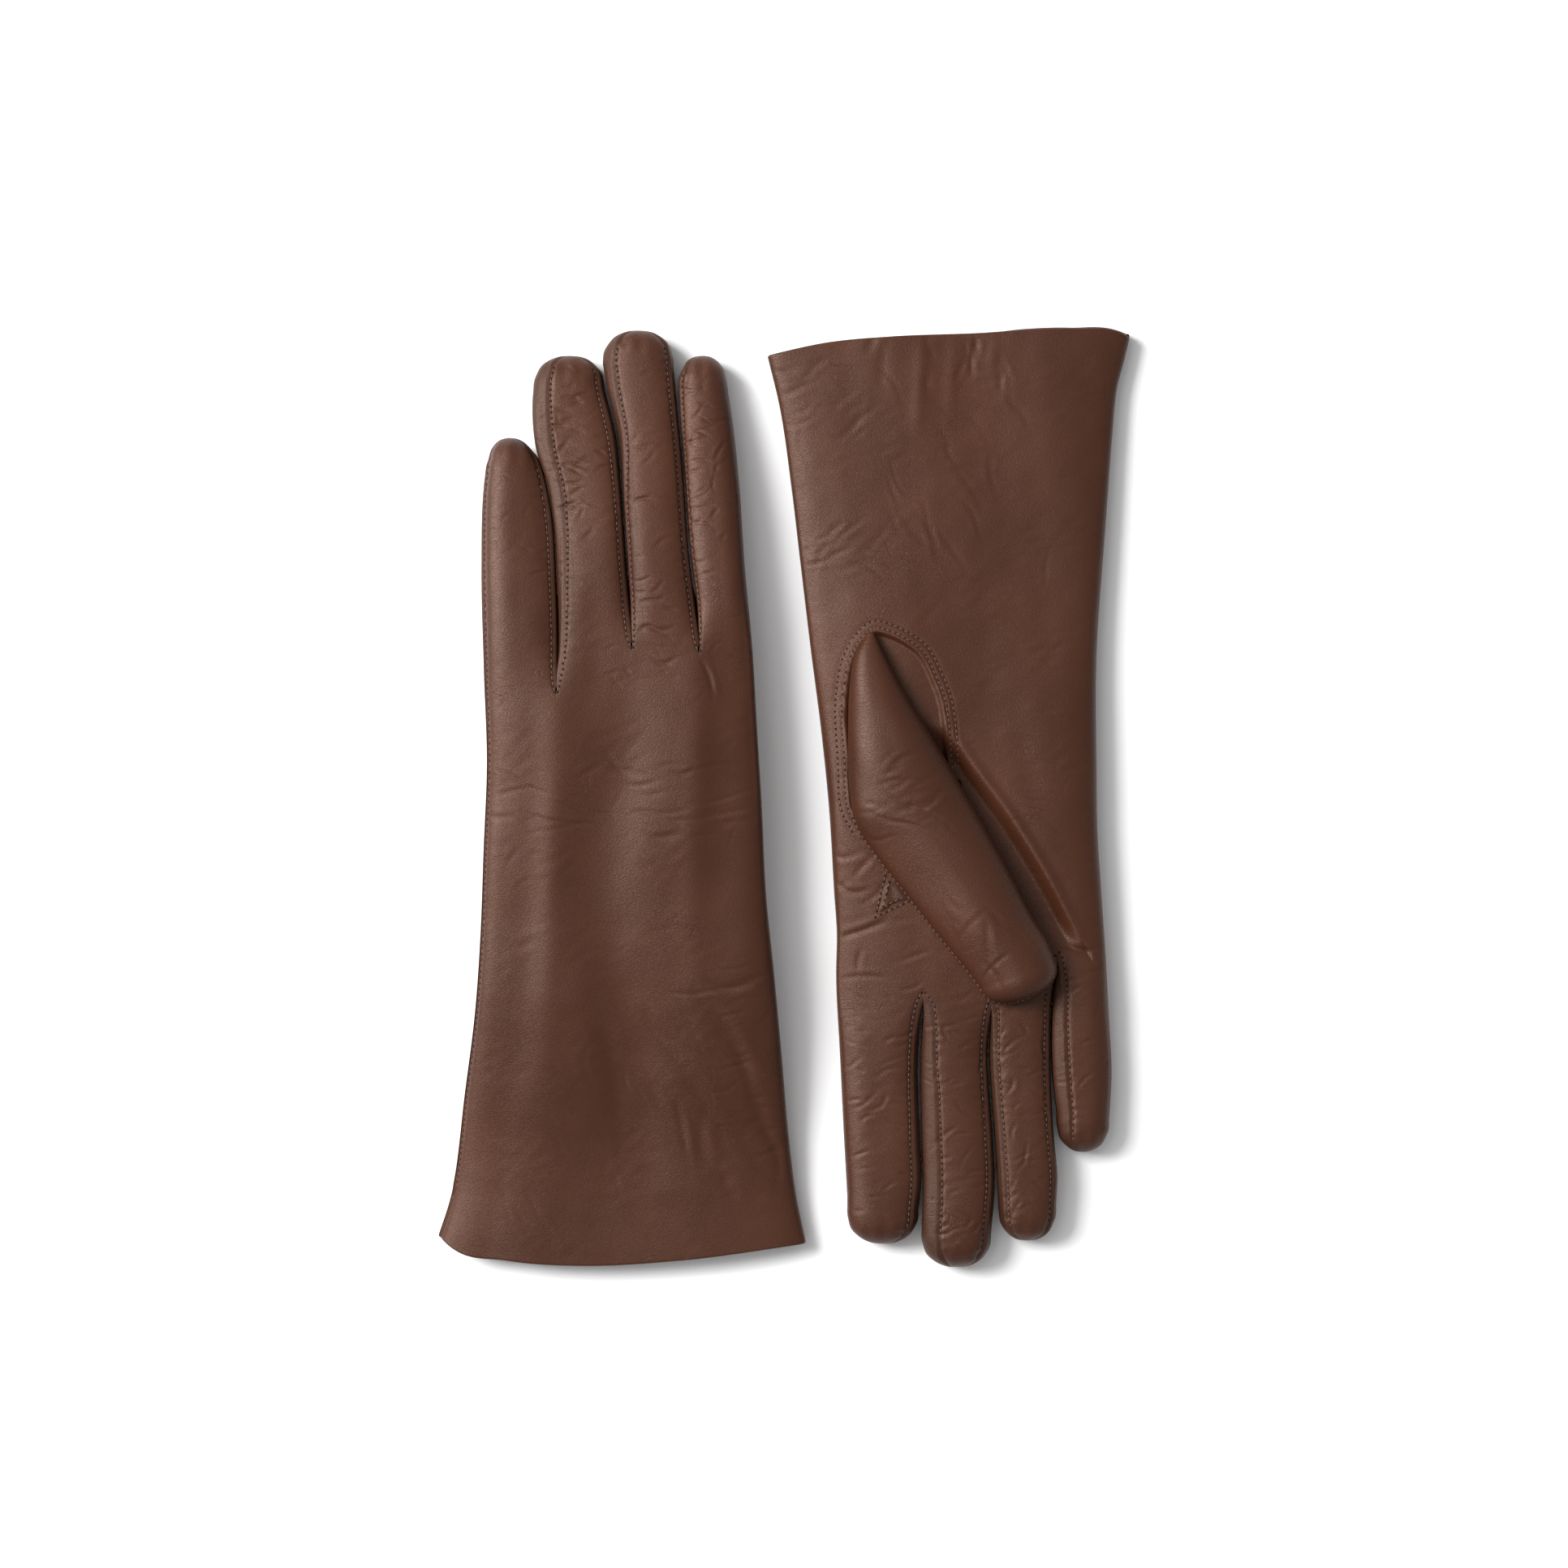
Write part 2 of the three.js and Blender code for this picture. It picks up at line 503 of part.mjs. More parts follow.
// ---- One glove --------------------------------------------------------------------------------
function makeGlove(glove) {
  const group = new THREE.Group();
  group.position.set(glove.place.x, glove.place.y, 0);
  group.rotation.z = glove.place.turn;
  const add = (name, geometry, material) => {
    const mesh = new THREE.Mesh(geometry, material);
    mesh.name = `${glove.name}_${name}`;
    group.add(mesh);
  };
  const hemEnd = glove.edges[0][0] + HEM_DEPTH;
  const cuffYs = steps(hemEnd, WRIST_Y - HINGE_GAP / 2, CUFF_ROWS);
  const hemYs = [glove.edges[0][0], hemEnd];

  for (const side of ["back", "palm"]) {
    const upper = (side === "palm") === glove.palmUp;
    add(`cuff_${side}`, handSkin(glove, [hemYs[0], ...cuffYs], upper), skin);
    const hand = cutLittleCorner(glove, handSkin(glove, HAND_YS, upper));
    add(`hand_${side}`, side === "palm" ? cutOpening(glove, hand) : hand, skin);
  }
  const layer = LEATHER + LAYER_GAP;
  add("cuff_hem", handLayer(glove, hemYs, layer, LEATHER), skin);
  add("cuff_lining", handLayer(glove, [hemEnd + LAYER_GAP, ...cuffYs.slice(1)], layer, LINING), knit);
  const handLining = cutLittleCorner(glove, handLayer(glove, HAND_YS, layer, LINING));
  add("hand_lining", cutOpening(glove, handLining), knit);

  for (const [name, finger] of Object.entries(glove.fingers)) {
    // The skin wraps a side that has no fourchette.
    const towardsIndex = name === "index" ? 0 : FOURCHETTE_HALF;
    const towardsLittle = name === "little" ? 0 : FOURCHETTE_HALF;
    const [upper, lower] = glove.palmUp ? ["palm", "back"] : ["back", "palm"];
    const edges = [
      [towardsIndex, FINGER_COLUMNS],
      [Math.PI - towardsLittle, FOURCHETTE_COLUMNS],
      [Math.PI + towardsLittle, FINGER_COLUMNS],
      [2 * Math.PI - towardsIndex, FOURCHETTE_COLUMNS],
      [2 * Math.PI + towardsIndex],
    ];
    const strip = (k) => fingerStrip(glove, finger, edges[k][0], edges[k + 1][0], edges[k][1]);
    add(`${name}_${upper}`, strip(0), skin);
    add(`${name}_${lower}`, strip(2), skin);
    if (towardsLittle) add(`${name}_fourchette_inner`, strip(1), gussetSkin);
    if (towardsIndex) add(`${name}_fourchette_outer`, strip(3), gussetSkin);
    const liningEdges = edges.filter((edge, k) => k === 4 || edges[k + 1][0] > edge[0]);
    add(`${name}_lining`, fingerLining(glove, finger, liningEdges), knit);
  }

  add("thumb_root", thumbRoot(glove), skin);
  add("thumb_gusset", thumbGusset(glove), gussetSkin);
  add("thumb_leather", tubeGeometry(thumbRings(glove, 0), thumbRings(glove, LEATHER), true), skin);
  const thumbLayer = (inset) => thumbRings(glove, inset);
  add("thumb_lining", tubeGeometry(thumbLayer(layer), thumbLayer(layer + LINING), true), knit);
  return group;
}

const pair = new THREE.Group();
pair.add(makeGlove(LEFT), makeGlove(RIGHT));

export default pair;
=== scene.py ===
import math

import bmesh
import bpy
import numpy as np
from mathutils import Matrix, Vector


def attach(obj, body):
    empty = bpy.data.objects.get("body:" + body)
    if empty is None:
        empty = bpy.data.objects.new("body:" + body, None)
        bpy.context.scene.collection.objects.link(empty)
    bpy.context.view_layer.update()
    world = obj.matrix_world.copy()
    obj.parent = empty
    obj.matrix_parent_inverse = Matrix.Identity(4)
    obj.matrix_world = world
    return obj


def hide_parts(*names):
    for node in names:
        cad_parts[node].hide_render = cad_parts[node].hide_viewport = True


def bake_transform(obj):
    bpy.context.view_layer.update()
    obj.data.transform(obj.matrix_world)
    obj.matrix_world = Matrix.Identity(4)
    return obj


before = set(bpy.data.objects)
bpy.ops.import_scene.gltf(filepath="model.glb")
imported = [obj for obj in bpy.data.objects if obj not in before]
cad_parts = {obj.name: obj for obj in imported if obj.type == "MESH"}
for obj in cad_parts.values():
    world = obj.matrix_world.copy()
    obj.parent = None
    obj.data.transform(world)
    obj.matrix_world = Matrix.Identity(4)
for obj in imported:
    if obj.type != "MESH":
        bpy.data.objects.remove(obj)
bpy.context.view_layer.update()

# A pair of long leather dress gloves. Every glove is drawn in its own plan, in millimetres: fingers
# along +y, index finger on +x, little finger on -x, seen from above. The left glove lies on its palm
# and the right glove, turned half round, lies on its back, so the same plan serves for both.

MM = 0.001
PITCH = 1.8  # between needle holes
WRIST = -64.0  # fold lines, as in the frame
KNUCKLE = 65.0
LITTLE_KNUCKLE = 50.0
MOUTH = -136.0  # nominal row of the glove's mouth, before the rim's own curve
SPLIT = 30.0  # the row where the hand's skin hands over to the fingers'
WIDEST = 0.42  # height of a section's widest line, as a share of its thickness
HAND_ROUND = 3.6  # exponent of the hand's oval section
FINGER_ROUND = 2.6
PRESSED = 0.38  # how high neighbouring fingers touch, as a share of the height above the widest line
TIP_REACH = 10.5  # length of a fingertip's rounding
THUMB_ROUND = 2.4
BOW_START = -84.0  # the row where the rim's own curve starts to move the skin
HEM_DEPTH = 12.5
SLIT_LEAD = 4.0  # the fingers start to round this far before their slit
LEFT_AT, RIGHT_AT = (-50.1, 0.2), (50.65, -0.2)  # the plans' origins in the frame
FINGERS = ("little", "ring", "middle", "index")


# ---- Curves and noise -------------------------------------------------------------------------
def smooth(t):
    t = np.clip(t, 0.0, 1.0)
    return t * t * (3.0 - 2.0 * t)


def spline(rows):
    """A smooth curve through (t, value) rows, held at its ends."""
    t, v = (np.array([r[k] for r in rows], float) for k in (0, 1))
    slope = np.gradient(v, t)

    def at(x):
        x = np.clip(np.asarray(x, float), t[0], t[-1])
        i = np.clip(np.searchsorted(t, x, side="right") - 1, 0, len(t) - 2)
        h = t[i + 1] - t[i]
        u = (x - t[i]) / h
        near = (2 * u**3 - 3 * u**2 + 1) * v[i] + (u**3 - 2 * u**2 + u) * h * slope[i]
        return near + (3 * u**2 - 2 * u**3) * v[i + 1] + (u**3 - u**2) * h * slope[i + 1]

    return at


def line(rows):
    t, v = (np.array([r[k] for r in rows], float) for k in (0, 1))
    return lambda x: np.interp(x, t, v)


def path(points, spacing):
    """Points of the plan joined by a smooth curve, and read at even steps."""
    p = np.array(points, float)
    t = np.concatenate([[0], np.cumsum(np.linalg.norm(np.diff(p, axis=0), axis=1))])
    fx, fy = spline(list(zip(t, p[:, 0]))), spline(list(zip(t, p[:, 1])))
    fine = np.linspace(0, t[-1], 400)
    q = np.stack([fx(fine), fy(fine)], 1)
    run = np.concatenate([[0], np.cumsum(np.linalg.norm(np.diff(q, axis=0), axis=1))])
    n = max(2, int(round(run[-1] / spacing)) + 1)
    even = np.interp(np.linspace(0, run[-1], n), run, fine)
    return np.stack([fx(even), fy(even)], 1)


def offset_path(points, distance):
    d = np.gradient(points, axis=0)
    d /= np.linalg.norm(d, axis=1)[:, None]
    return points + distance * np.stack([-d[:, 1], d[:, 0]], 1)


def waves(rng, count, shortest, longest, angle, spread):
    """Soft random relief: plane waves whose crests lie roughly at an angle of the plan."""
    length = rng.uniform(shortest, longest, count)
    a = angle + math.pi / 2 + rng.normal(0, spread, count)
    k = 2 * math.pi / length
    phase = rng.uniform(0, 2 * math.pi, count)

    def at(x, y):
        total = np.zeros(np.shape(x))
        for kk, aa, pp in zip(k, a, phase):
            total += np.cos(kk * (math.cos(aa) * x + math.sin(aa) * y) + pp)
        return total / math.sqrt(count)

    return at


def crease(x, y, points, depth, width, lip=0.4):
    """A fold in the skin along a path of the plan: a furrow with a soft lip on its left side."""
    p = path(points, 1.6)
    out = np.zeros(np.shape(x))
    reach = 4.5 * width
    near = (x > p[:, 0].min() - reach) & (x < p[:, 0].max() + reach)
    near &= (y > p[:, 1].min() - reach) & (y < p[:, 1].max() + reach)
    if not near.any():
        return out
    q = np.stack([x[near], y[near]], 1)
    best = np.full(len(q), 1e9)
    side = np.zeros(len(q))
    along = np.zeros(len(q))
    for i in range(len(p) - 1):
        d = p[i + 1] - p[i]
        u = np.clip(((q - p[i]) @ d) / (d @ d), 0, 1)
        r = q - (p[i] + u[:, None] * d)
        dist = np.hypot(r[:, 0], r[:, 1])
        hit = dist < best
        best[hit] = dist[hit]
        side[hit] = np.sign(d[0] * r[hit, 1] - d[1] * r[hit, 0])
        along[hit] = (i + u[hit]) / (len(p) - 1)
    fade = np.sin(math.pi * np.clip(along, 0.02, 0.98)) ** 0.6
    furrow = -depth * np.exp(-((best / width) ** 2))
    raised = depth * lip * np.exp(-(((best * side - 1.7 * width) / (1.2 * width)) ** 2))
    out[near] = (furrow + raised) * fade
    return out


def scatter(rng, box, count, angle, spread, length, depth, width):
    """Random short creases in a box of the plan, each slightly bent."""
    made = []
    for _ in range(count):
        cx, cy = rng.uniform(box[0], box[2]), rng.uniform(box[1], box[3])
        a = angle + rng.normal(0, spread)
        half = 0.5 * length * rng.uniform(0.5, 1.4)
        bend = rng.normal(0, 0.18) * half
        dx, dy = math.cos(a) * half, math.sin(a) * half
        middle = (cx - math.sin(a) * bend, cy + math.cos(a) * bend)
        points = [(cx - dx, cy - dy), middle, (cx + dx, cy + dy)]
        made.append((points, depth * rng.uniform(0.5, 1.2), width * rng.uniform(0.7, 1.3)))
    return made


# ---- The plan of each glove -------------------------------------------------------------------
# Outer edges are (row, x). Each slit has the line that leads to it from the mouth, the rows where it
# opens in the upper and in the lower skin, and the two finger edges beyond it.
LEFT = {
    "name": "left",
    "cuff_angle": -1.0,
    "flange": 0.085,
    "palm_up": False,
    "little_edge": [
        (-136, -56.4), (-118, -51.9), (-92, -48.2), (-66, -44.7), (-42, -42.9), (-16, -41.9), (10, -40.9),
        (40, -41.9), (71, -42.7), (96, -42.1), (104, -41.2),
    ],
    "index_edge": [
        (-136, 56.8), (-123, 54.1), (-104, 51.6), (-79, 49.4), (-54, 47.1), (-29, 44.6), (-4, 43.4),
        (21, 41.9), (46, 40.4), (71, 38.1), (96, 36.4), (115, 34.4), (127, 32.6),
    ],
    "rim": [(-56.4, -134.7), (-53, -137.6), (-35.4, -141.7), (-12.9, -143.3), (18.1, -141.7), (56.8, -136.7)],
    "slits": [
        {"lead": [(-136, -28), (-60, -23), (0, -20.5), (33.3, -19.4)], "upper": 33.5, "lower": 48.5,
         "left": [(46, -19.1), (65, -19.6), (90, -21.6), (104, -24.9), (111, -27.5)],
         "right": [(46, -18.9), (65, -19.3), (85, -20.6), (95, -22.2), (108, -26.2), (121, -27.3), (128, -27.0)]},
        {"lead": [(-136, 1), (-40, 3), (47, 3.6)], "upper": 47, "lower": 62.5,
         "left": [(58, 2.9), (71, 1.8), (96, 0.0), (110, -1.4), (126, -5.2)],
         "right": [(58, 3.3), (71, 2.5), (96, 0.7), (110, -0.5), (126, -4.2), (134, -5.8)]},
        {"lead": [(-136, 29), (-40, 25.5), (46, 24.1)], "upper": 46, "lower": 61,
         "left": [(54, 23.4), (77, 20.7), (102, 18.9), (120, 17.2), (134, 16)],
         "right": [(54, 24.0), (77, 21.5), (102, 19.6), (120, 18.2), (127, 17.6)]},
    ],
    "tips": {"little": 110.8, "ring": 136.3, "middle": 144.1, "index": 136.3},
    "thick": [(-144, 9), (-105, 10.5), (-64, 11.5), (0, 12), (150, 12)],
    "lift": [
        (-144, 0), (-118, 0.1), (-104, 1.5), (-84, 5.0), (-64, 8.2), (-48, 9.4), (48, 9.4), (62, 8.6),
        (90, 6.2), (118, 2.2), (134, 0.1), (150, 0),
    ],
    # Seams on the upper skin: finger, [(row, place across the finger)], with -1 on the little finger's side.
    "seams": {
        "little": [[(-118, -0.92), (-60, -0.91), (30, -0.905), (104, -0.905)],
                   [(32.4, 0.99), (36, 0.91), (42, 0.87), (104, 0.86)]],
        "ring": [[(32.4, -0.99), (36, -0.93), (44, -0.84), (60, -0.76), (90, -0.6), (134, -0.5)],
                 [(46, 0.99), (50, 0.9), (58, 0.86), (134, 0.82)]],
        "middle": [[(46, -0.99), (52, -0.955), (90, -0.93), (112, -0.74), (140, -0.6)],
                   [(45, 0.99), (49, 0.9), (58, 0.87), (140, 0.84)]],
        "index": [[(45, -0.99), (52, -0.97), (110, -0.97), (132, -0.86)], []],
    },
    "level": 9.4,
    "thumb_height": 8.4,
}
RIGHT = {
    "name": "right",
    "cuff_angle": -0.9,
    "flange": 0.0,
    "palm_up": True,
    "little_edge": [
        (-136, -55.9), (-128, -54.0), (-121, -52.1), (-109, -50.6), (-96, -49.4), (-77, -47.9), (-46, -45.7),
        (-9, -45.6), (10, -45.9), (29, -47.1), (48, -48.4), (66, -49.4), (85, -50.3), (98, -49.6),
    ],
    "index_edge": [
        (-136, 55.7), (-121, 52.2), (-96, 48.4), (-71, 45.4), (-46, 42.4), (-21, 39.2), (4, 36.7), (29, 35.2),
        (41, 34.4), (54, 34.6), (79, 33.4), (104, 32.2), (122, 31.2),
    ],
    "rim": [
        (-55.9, -141.9), (-52.9, -143.2), (-37.9, -144.2), (-7.9, -142.7), (17.2, -141.7), (37.7, -139.9),
        (55.7, -136.2),
    ],
    "slits": [
        {"lead": [(-136, -31), (-40, -31), (33.5, -33.4)], "upper": 48.3, "lower": 33.5,
         "left": [(48.3, -33.6), (60, -32.2), (85, -32.0), (97, -33.3)],
         "right": [(48.3, -33.4), (60, -31.7), (79, -31.3), (104, -32.4), (116, -33.5), (124, -33.2)]},
        {"lead": [(-136, -6), (-40, -9), (46, -12.4)], "upper": 62.5, "lower": 46.5,
         "left": [(62.5, -13.2), (79, -12.6), (91, -13.3), (104, -14.3), (118, -15.1), (125, -15.4)],
         "right": [(62.5, -12.7), (79, -11.9), (91, -12.6), (104, -13.6), (118, -14.2), (133, -13.2)]},
        {"lead": [(-136, 20), (-40, 13), (46, 8.3)], "upper": 60.8, "lower": 46.5,
         "left": [(60.8, 7.7), (79, 8.5), (104, 8.2), (118, 7.8), (133, 8.3)],
         "right": [(60.8, 8.2), (79, 9.5), (104, 8.9), (118, 8.4), (126, 9.2)]},
    ],
    "tips": {"little": 108.7, "ring": 136.0, "middle": 144.2, "index": 137.0},
    "thick": [(-144, 9), (-105, 10.5), (-64, 11.5), (-20, 13), (40, 13), (66, 12), (150, 12)],
    "lift": [(-144, 0), (150, 0)],
    "seams": {
        "little": [[], [(47, 0.97), (50, 0.8), (60, 0.5), (98, 0.42), (106, 0.5)]],
        "ring": [[(48, -0.96), (52, -0.88), (60, -0.84), (132, -0.78)],
                 [(61, 0.96), (65, 0.8), (80, 0.74), (132, 0.7)]],
        "middle": [[(61, -0.97), (65, -0.88), (76, -0.84), (140, -0.76)],
                   [(59.4, 0.96), (63, 0.72), (72, 0.6), (90, 0.5), (136, 0.5)]],
        "index": [[(59.4, -0.97), (63, -0.86), (72, -0.8), (132, -0.74)], []],
    },
    "level": 13.0,
    "thumb_height": 9.6,
}

# The thumb lies folded across the palm: pairs of points on its fold (towards the little finger) and
# on its seam, from the wrist end of its opening to where its tip starts to round.
THUMB_FOLD = [
    (22.3, -51.4), (17.6, -42), (13.6, -34.4), (5.7, -21.4), (0, -12), (-5.2, -3), (-10.9, 6.8), (-19.1, 21.8),
    (-25.9, 35.1), (-30.9, 43.3), (-33.6, 50),
]
THUMB_SEAM = [
    (24.8, -51), (28.8, -43.6), (30.4, -33), (30.7, -18), (30.4, -4), (28.4, 7.6), (22.8, 16.6), (12.4, 30.0),
    (3, 42), (-4.6, 51.2), (-9.6, 57.8),
]
THUMB_RISE = [(0, 0.1), (1, 0.5), (2, 0.74), (3, 0.9), (5, 1), (10, 1)]
THUMB_TIP = 8.2
THUMB_AXIS = (-0.585, 0.811)
THUMB_BASE = (11.5, 5.6)
THUMB_CREASES = [
    [(18.4, -9.6), (14, -13.2), (9.6, -14.3)],
    [(19.4, -2.4), (14, 1.2), (8.6, 2.9), (3.1, 5.2)],
    [(29.4, 6.6), (23.4, 12.4), (16.4, 10.7)],
    [(22, -4.6), (16, -6.2), (11, -5.2)],
    [(24, 4.4), (18, 6.4), (11, 7.8), (4, 11.2)],
    [(-9.4, 56.4), (-12.6, 51.3), (-18, 46.5)],
    [(-2, 44), (-6, 38), (-12, 33)],
]
# The opening in the palm for the thumb: its outer row of stitches, from the seam side round the wrist end.
OPENING = [
    (29.6, 9.9), (32.2, 5.3), (34, -12), (34.5, -33), (32.3, -43.8), (29, -50), (23.2, -54.7), (17.2, -53.4),
    (12.2, -51), (7.2, -47.4), (2.2, -38.6), (-0.6, -31.2), (-2.2, -21), (-3.2, -9.2),
]
GUSSET = [(19.2, 21.6), (22.6, 36.2), (10.6, 30.4)]

LEFT_CREASES = [
    # wrist band
    ([(42, 3), (34, 0.4), (28, -1.4), (20, -1.8)], 0.26, 0.5),
    ([(22, -3.2), (14, -4.6), (9, -3.8), (2, -5.2)], 0.26, 0.5),
    ([(-38, 9), (-33, 7), (-28, 3.6), (-22, 1.6)], 0.26, 0.5),
    ([(-21, -1), (-14, -2.2), (-8, -4.4), (-1, -4.6)], 0.26, 0.5),
    ([(-30, -4), (-20, -7), (-8, -8)], 0.26, 0.6),
    ([(41, -3), (31, -5), (22, -7)], 0.26, 0.6),
    ([(40, -57), (30, -58.6), (22, -60), (14, -59.4)], 0.24, 0.5),
    # knuckles
    ([(5.2, 50.5), (8.4, 52.6), (12, 51.2), (16.5, 52)], 0.42, 0.7),
    ([(10, 42.5), (13.5, 41), (17.5, 43)], 0.3, 0.7),
    ([(25, 42), (27.3, 37), (28.6, 31)], 0.3, 0.8),
    # cuff
    ([(28, -66), (36, -78), (41, -92), (47, -108)], 0.42, 2.2),
    ([(12, -72), (24, -90), (34, -112)], 0.26, 2.4),
    ([(44, -54), (34, -58), (24, -56)], 0.3, 1.4),
    ([(-8, -60), (-2, -84), (0, -112)], 0.2, 3.0),
]
LEFT_RIDGES = [
    ([(5, 52), (2, 20), (-5, -20), (1, -70), (10, -125)], -2.2, 11.5),
    ([(-30, 40), (-31, 0), (-33, -60), (-40, -120)], -1.0, 9.0),
    ([(-6, 70), (-8, 45), (-9, 20)], -0.7, 7.0),
    ([(-19.4, 40), (-20, 10), (-22, -40), (-24, -90)], 0.5, 4.5),
    ([(24.4, 56), (24, 20), (22, -40), (24, -80)], 0.4, 4.5),
    ([(31, 66), (31, 20), (31, -50)], -0.5, 6.0),
]
RIGHT_CREASES = [
    ([(-2.6, -19), (-6, -13.5), (-19.2, 5), (-31, 24), (-40, 41)], -0.35, 1.5),
    ([(34, 26), (30, 28.6), (24, 27.4)], 0.35, 0.8),
    ([(33.6, 42.6), (27, 40.4), (22, 38.4), (19, 37.2)], 0.45, 0.9),
    ([(33, 55), (26, 54.2), (19, 54.6)], 0.22, 0.8),
    ([(-28, 46), (-36, 45), (-42, 46.6), (-47, 45.4)], 0.35, 0.8),
    ([(20, -68), (26, -72), (34, -70)], 0.2, 0.9),
]
RIGHT_RIDGES = [
    ([(8, -142), (9, -126), (10, -112)], 0.3, 2.2),
    ([(-2, -142), (-1, -130), (0, -118)], 0.22, 2.0),
    ([(-14, -143), (-13, -132)], 0.22, 2.0),
    ([(20, -140), (21, -126)], -0.22, 2.0),
    ([(-20, -30), (-24, -10), (-33, 14)], -0.2, 4.0),
]
# Small random creases: box of the plan, count, angle (None for the cuff's own), its spread, length, depth
# and width.
SMALL_CREASES = [
    ((-40, 56, 36, 128), 34, 0.1, 0.4, 5.5, 0.2, 0.5),
    ((-40, -130, 44, -70), 22, None, 0.4, 15, 0.09, 0.8),
    ((-38, -60, 38, 44), 26, 0.2, 0.5, 9, 0.08, 0.5),
]
RIGHT_SMALL = [
    ((24, -134, 52, -104), 16, 0.5, 0.35, 11, 0.2, 0.7),
    ((-20, -143, 24, -128), 10, math.pi / 2, 0.25, 9, 0.2, 1.0),
    ((22, -84, 46, -64), 12, 0.6, 0.4, 10, 0.2, 0.6),
    ((-12, 66, 8, 138), 40, 0.5, 0.5, 6, 0.27, 0.42),
    ((-32, 64, -14, 130), 36, 0.4, 0.6, 6, 0.27, 0.42),
    ((10, 60, 33, 132), 22, 0.4, 0.5, 7, 0.3, 0.45),
    ((-50, 50, -34, 104), 16, 0.5, 0.5, 6, 0.3, 0.45),
    ((-10, 16, 34, 52), 16, 0.3, 0.5, 9, 0.28, 0.7),
]
LEFT_SMALL = [
    ((-40, -12, 42, 10), 22, 0.05, 0.2, 14, 0.2, 0.8),
    ((10, -124, 50, -60), 12, -1.05, 0.25, 22, 0.24, 1.5),
    ((-26, 66, -4, 132), 26, 0.15, 0.45, 6, 0.34, 0.4),
    ((-19, 88, -13, 132), 20, 0.1, 0.25, 5, 0.4, 0.4),
    ((2, 52, 20, 138), 20, 0.3, 0.5, 6, 0.3, 0.4),
    ((19, 60, 28, 132), 22, 0.15, 0.3, 6, 0.36, 0.4),
    ((20, 86, 36, 134), 22, 0.4, 0.5, 5, 0.3, 0.4),
    ((-4, 34, 40, 50), 14, -0.5, 0.6, 6, 0.14, 0.5),
    ((30, -110, 52, -50), 22, 0.3, 0.3, 9, 0.18, 0.5),
]


def finish_plan(g):
    """Turns a glove's lists of points into curves."""
    g["thick_at"], g["lift_at"] = spline(g["thick"]), spline(g["lift"])
    g["little_at"], g["index_at"] = spline(g["little_edge"]), spline(g["index_edge"])
    g["rim_at"] = spline(g["rim"])
    for s in g["slits"]:
        for k in ("left", "right"):
            s[f"{k}_at"] = spline(s["lead"] + [r for r in s[k] if r[0] > s["lead"][-1][0]])
    rng = np.random.default_rng(7 if g["palm_up"] else 3)
    g["soft"] = waves(rng, 9, 34, 90, math.pi / 2, 0.5)
    g["fine"] = waves(rng, 12, 9, 22, math.pi / 2, 1.0)
    g["cross"] = waves(rng, 10, 3.2, 6.5, 0.35, 0.35)
    g["cross_where"] = waves(rng, 6, 16, 40, 0.0, 1.5)
    c = [(p, d, w, 0.4) for p, d, w in (RIGHT_CREASES if g["palm_up"] else LEFT_CREASES)]
    c += [(p, -d, w, 0.0) for p, d, w in (RIGHT_RIDGES if g["palm_up"] else LEFT_RIDGES)]
    lines = []
    for box, count, angle, *rest in SMALL_CREASES + (RIGHT_SMALL if g["palm_up"] else LEFT_SMALL):
        if angle is None:
            angle = g["cuff_angle"]
        lines += scatter(rng, box, count, angle, *rest)
    g["creases"] = c + [(p, d, w, 0.4) for p, d, w in lines]


# ---- Surfaces ---------------------------------------------------------------------------------
def oval(share, exponent):
    return np.clip(1.0 - np.abs(share) ** exponent, 0.0, 1.0) ** (1.0 / exponent)


def even_shares(exponent, half, high, count):
    """Places across a section, from +1 to -1, evenly spaced along its arc."""
    a = np.linspace(0, math.pi, 4000)
    c = np.sign(np.cos(a)) * np.abs(np.cos(a)) ** (2 / exponent)
    z = np.sin(a) ** (2 / exponent)
    run = np.concatenate([[0], np.cumsum(np.hypot(np.diff(c) * half, np.diff(z) * high))])
    even = np.interp(np.linspace(0, run[-1], count), run, c)
    even[0], even[-1] = 1.0, -1.0
    return even


UPPER = even_shares(FINGER_ROUND, 10.0, 7.0, 47)
LOWER = even_shares(FINGER_ROUND, 10.0, 5.0, 25)


def relief(g, x, y):
    """Height added to the upper skin at points of the plan."""
    z = 0.36 * g["soft"](x, y) + 0.05 * g["fine"](x, y)
    z += 0.025 * g["cross"](x, y) * np.clip(g["cross_where"](x, y) + 0.3, 0, 1.5)
    for points, depth, width, lip in g["creases"]:
        z += crease(x, y, points, depth, width, lip)
    if g["palm_up"]:
        z += palm_relief(x, y)
    return z


def away_from(x, y, p):
    """Distance to a path, signed: positive on its left."""
    best = np.full(np.shape(x), 1e9)
    side = np.ones(np.shape(x))
    for i in range(len(p) - 1):
        d = p[i + 1] - p[i]
        u = np.clip(((x - p[i, 0]) * d[0] + (y - p[i, 1]) * d[1]) / (d @ d), 0, 1)
        rx, ry = x - p[i, 0] - u * d[0], y - p[i, 1] - u * d[1]
        dist = np.hypot(rx, ry)
        hit = dist < best
        best = np.where(hit, dist, best)
        side = np.where(hit, np.sign(d[0] * ry - d[1] * rx), side)
    return best * side


OPENING_PATH = path(OPENING, 2.0)


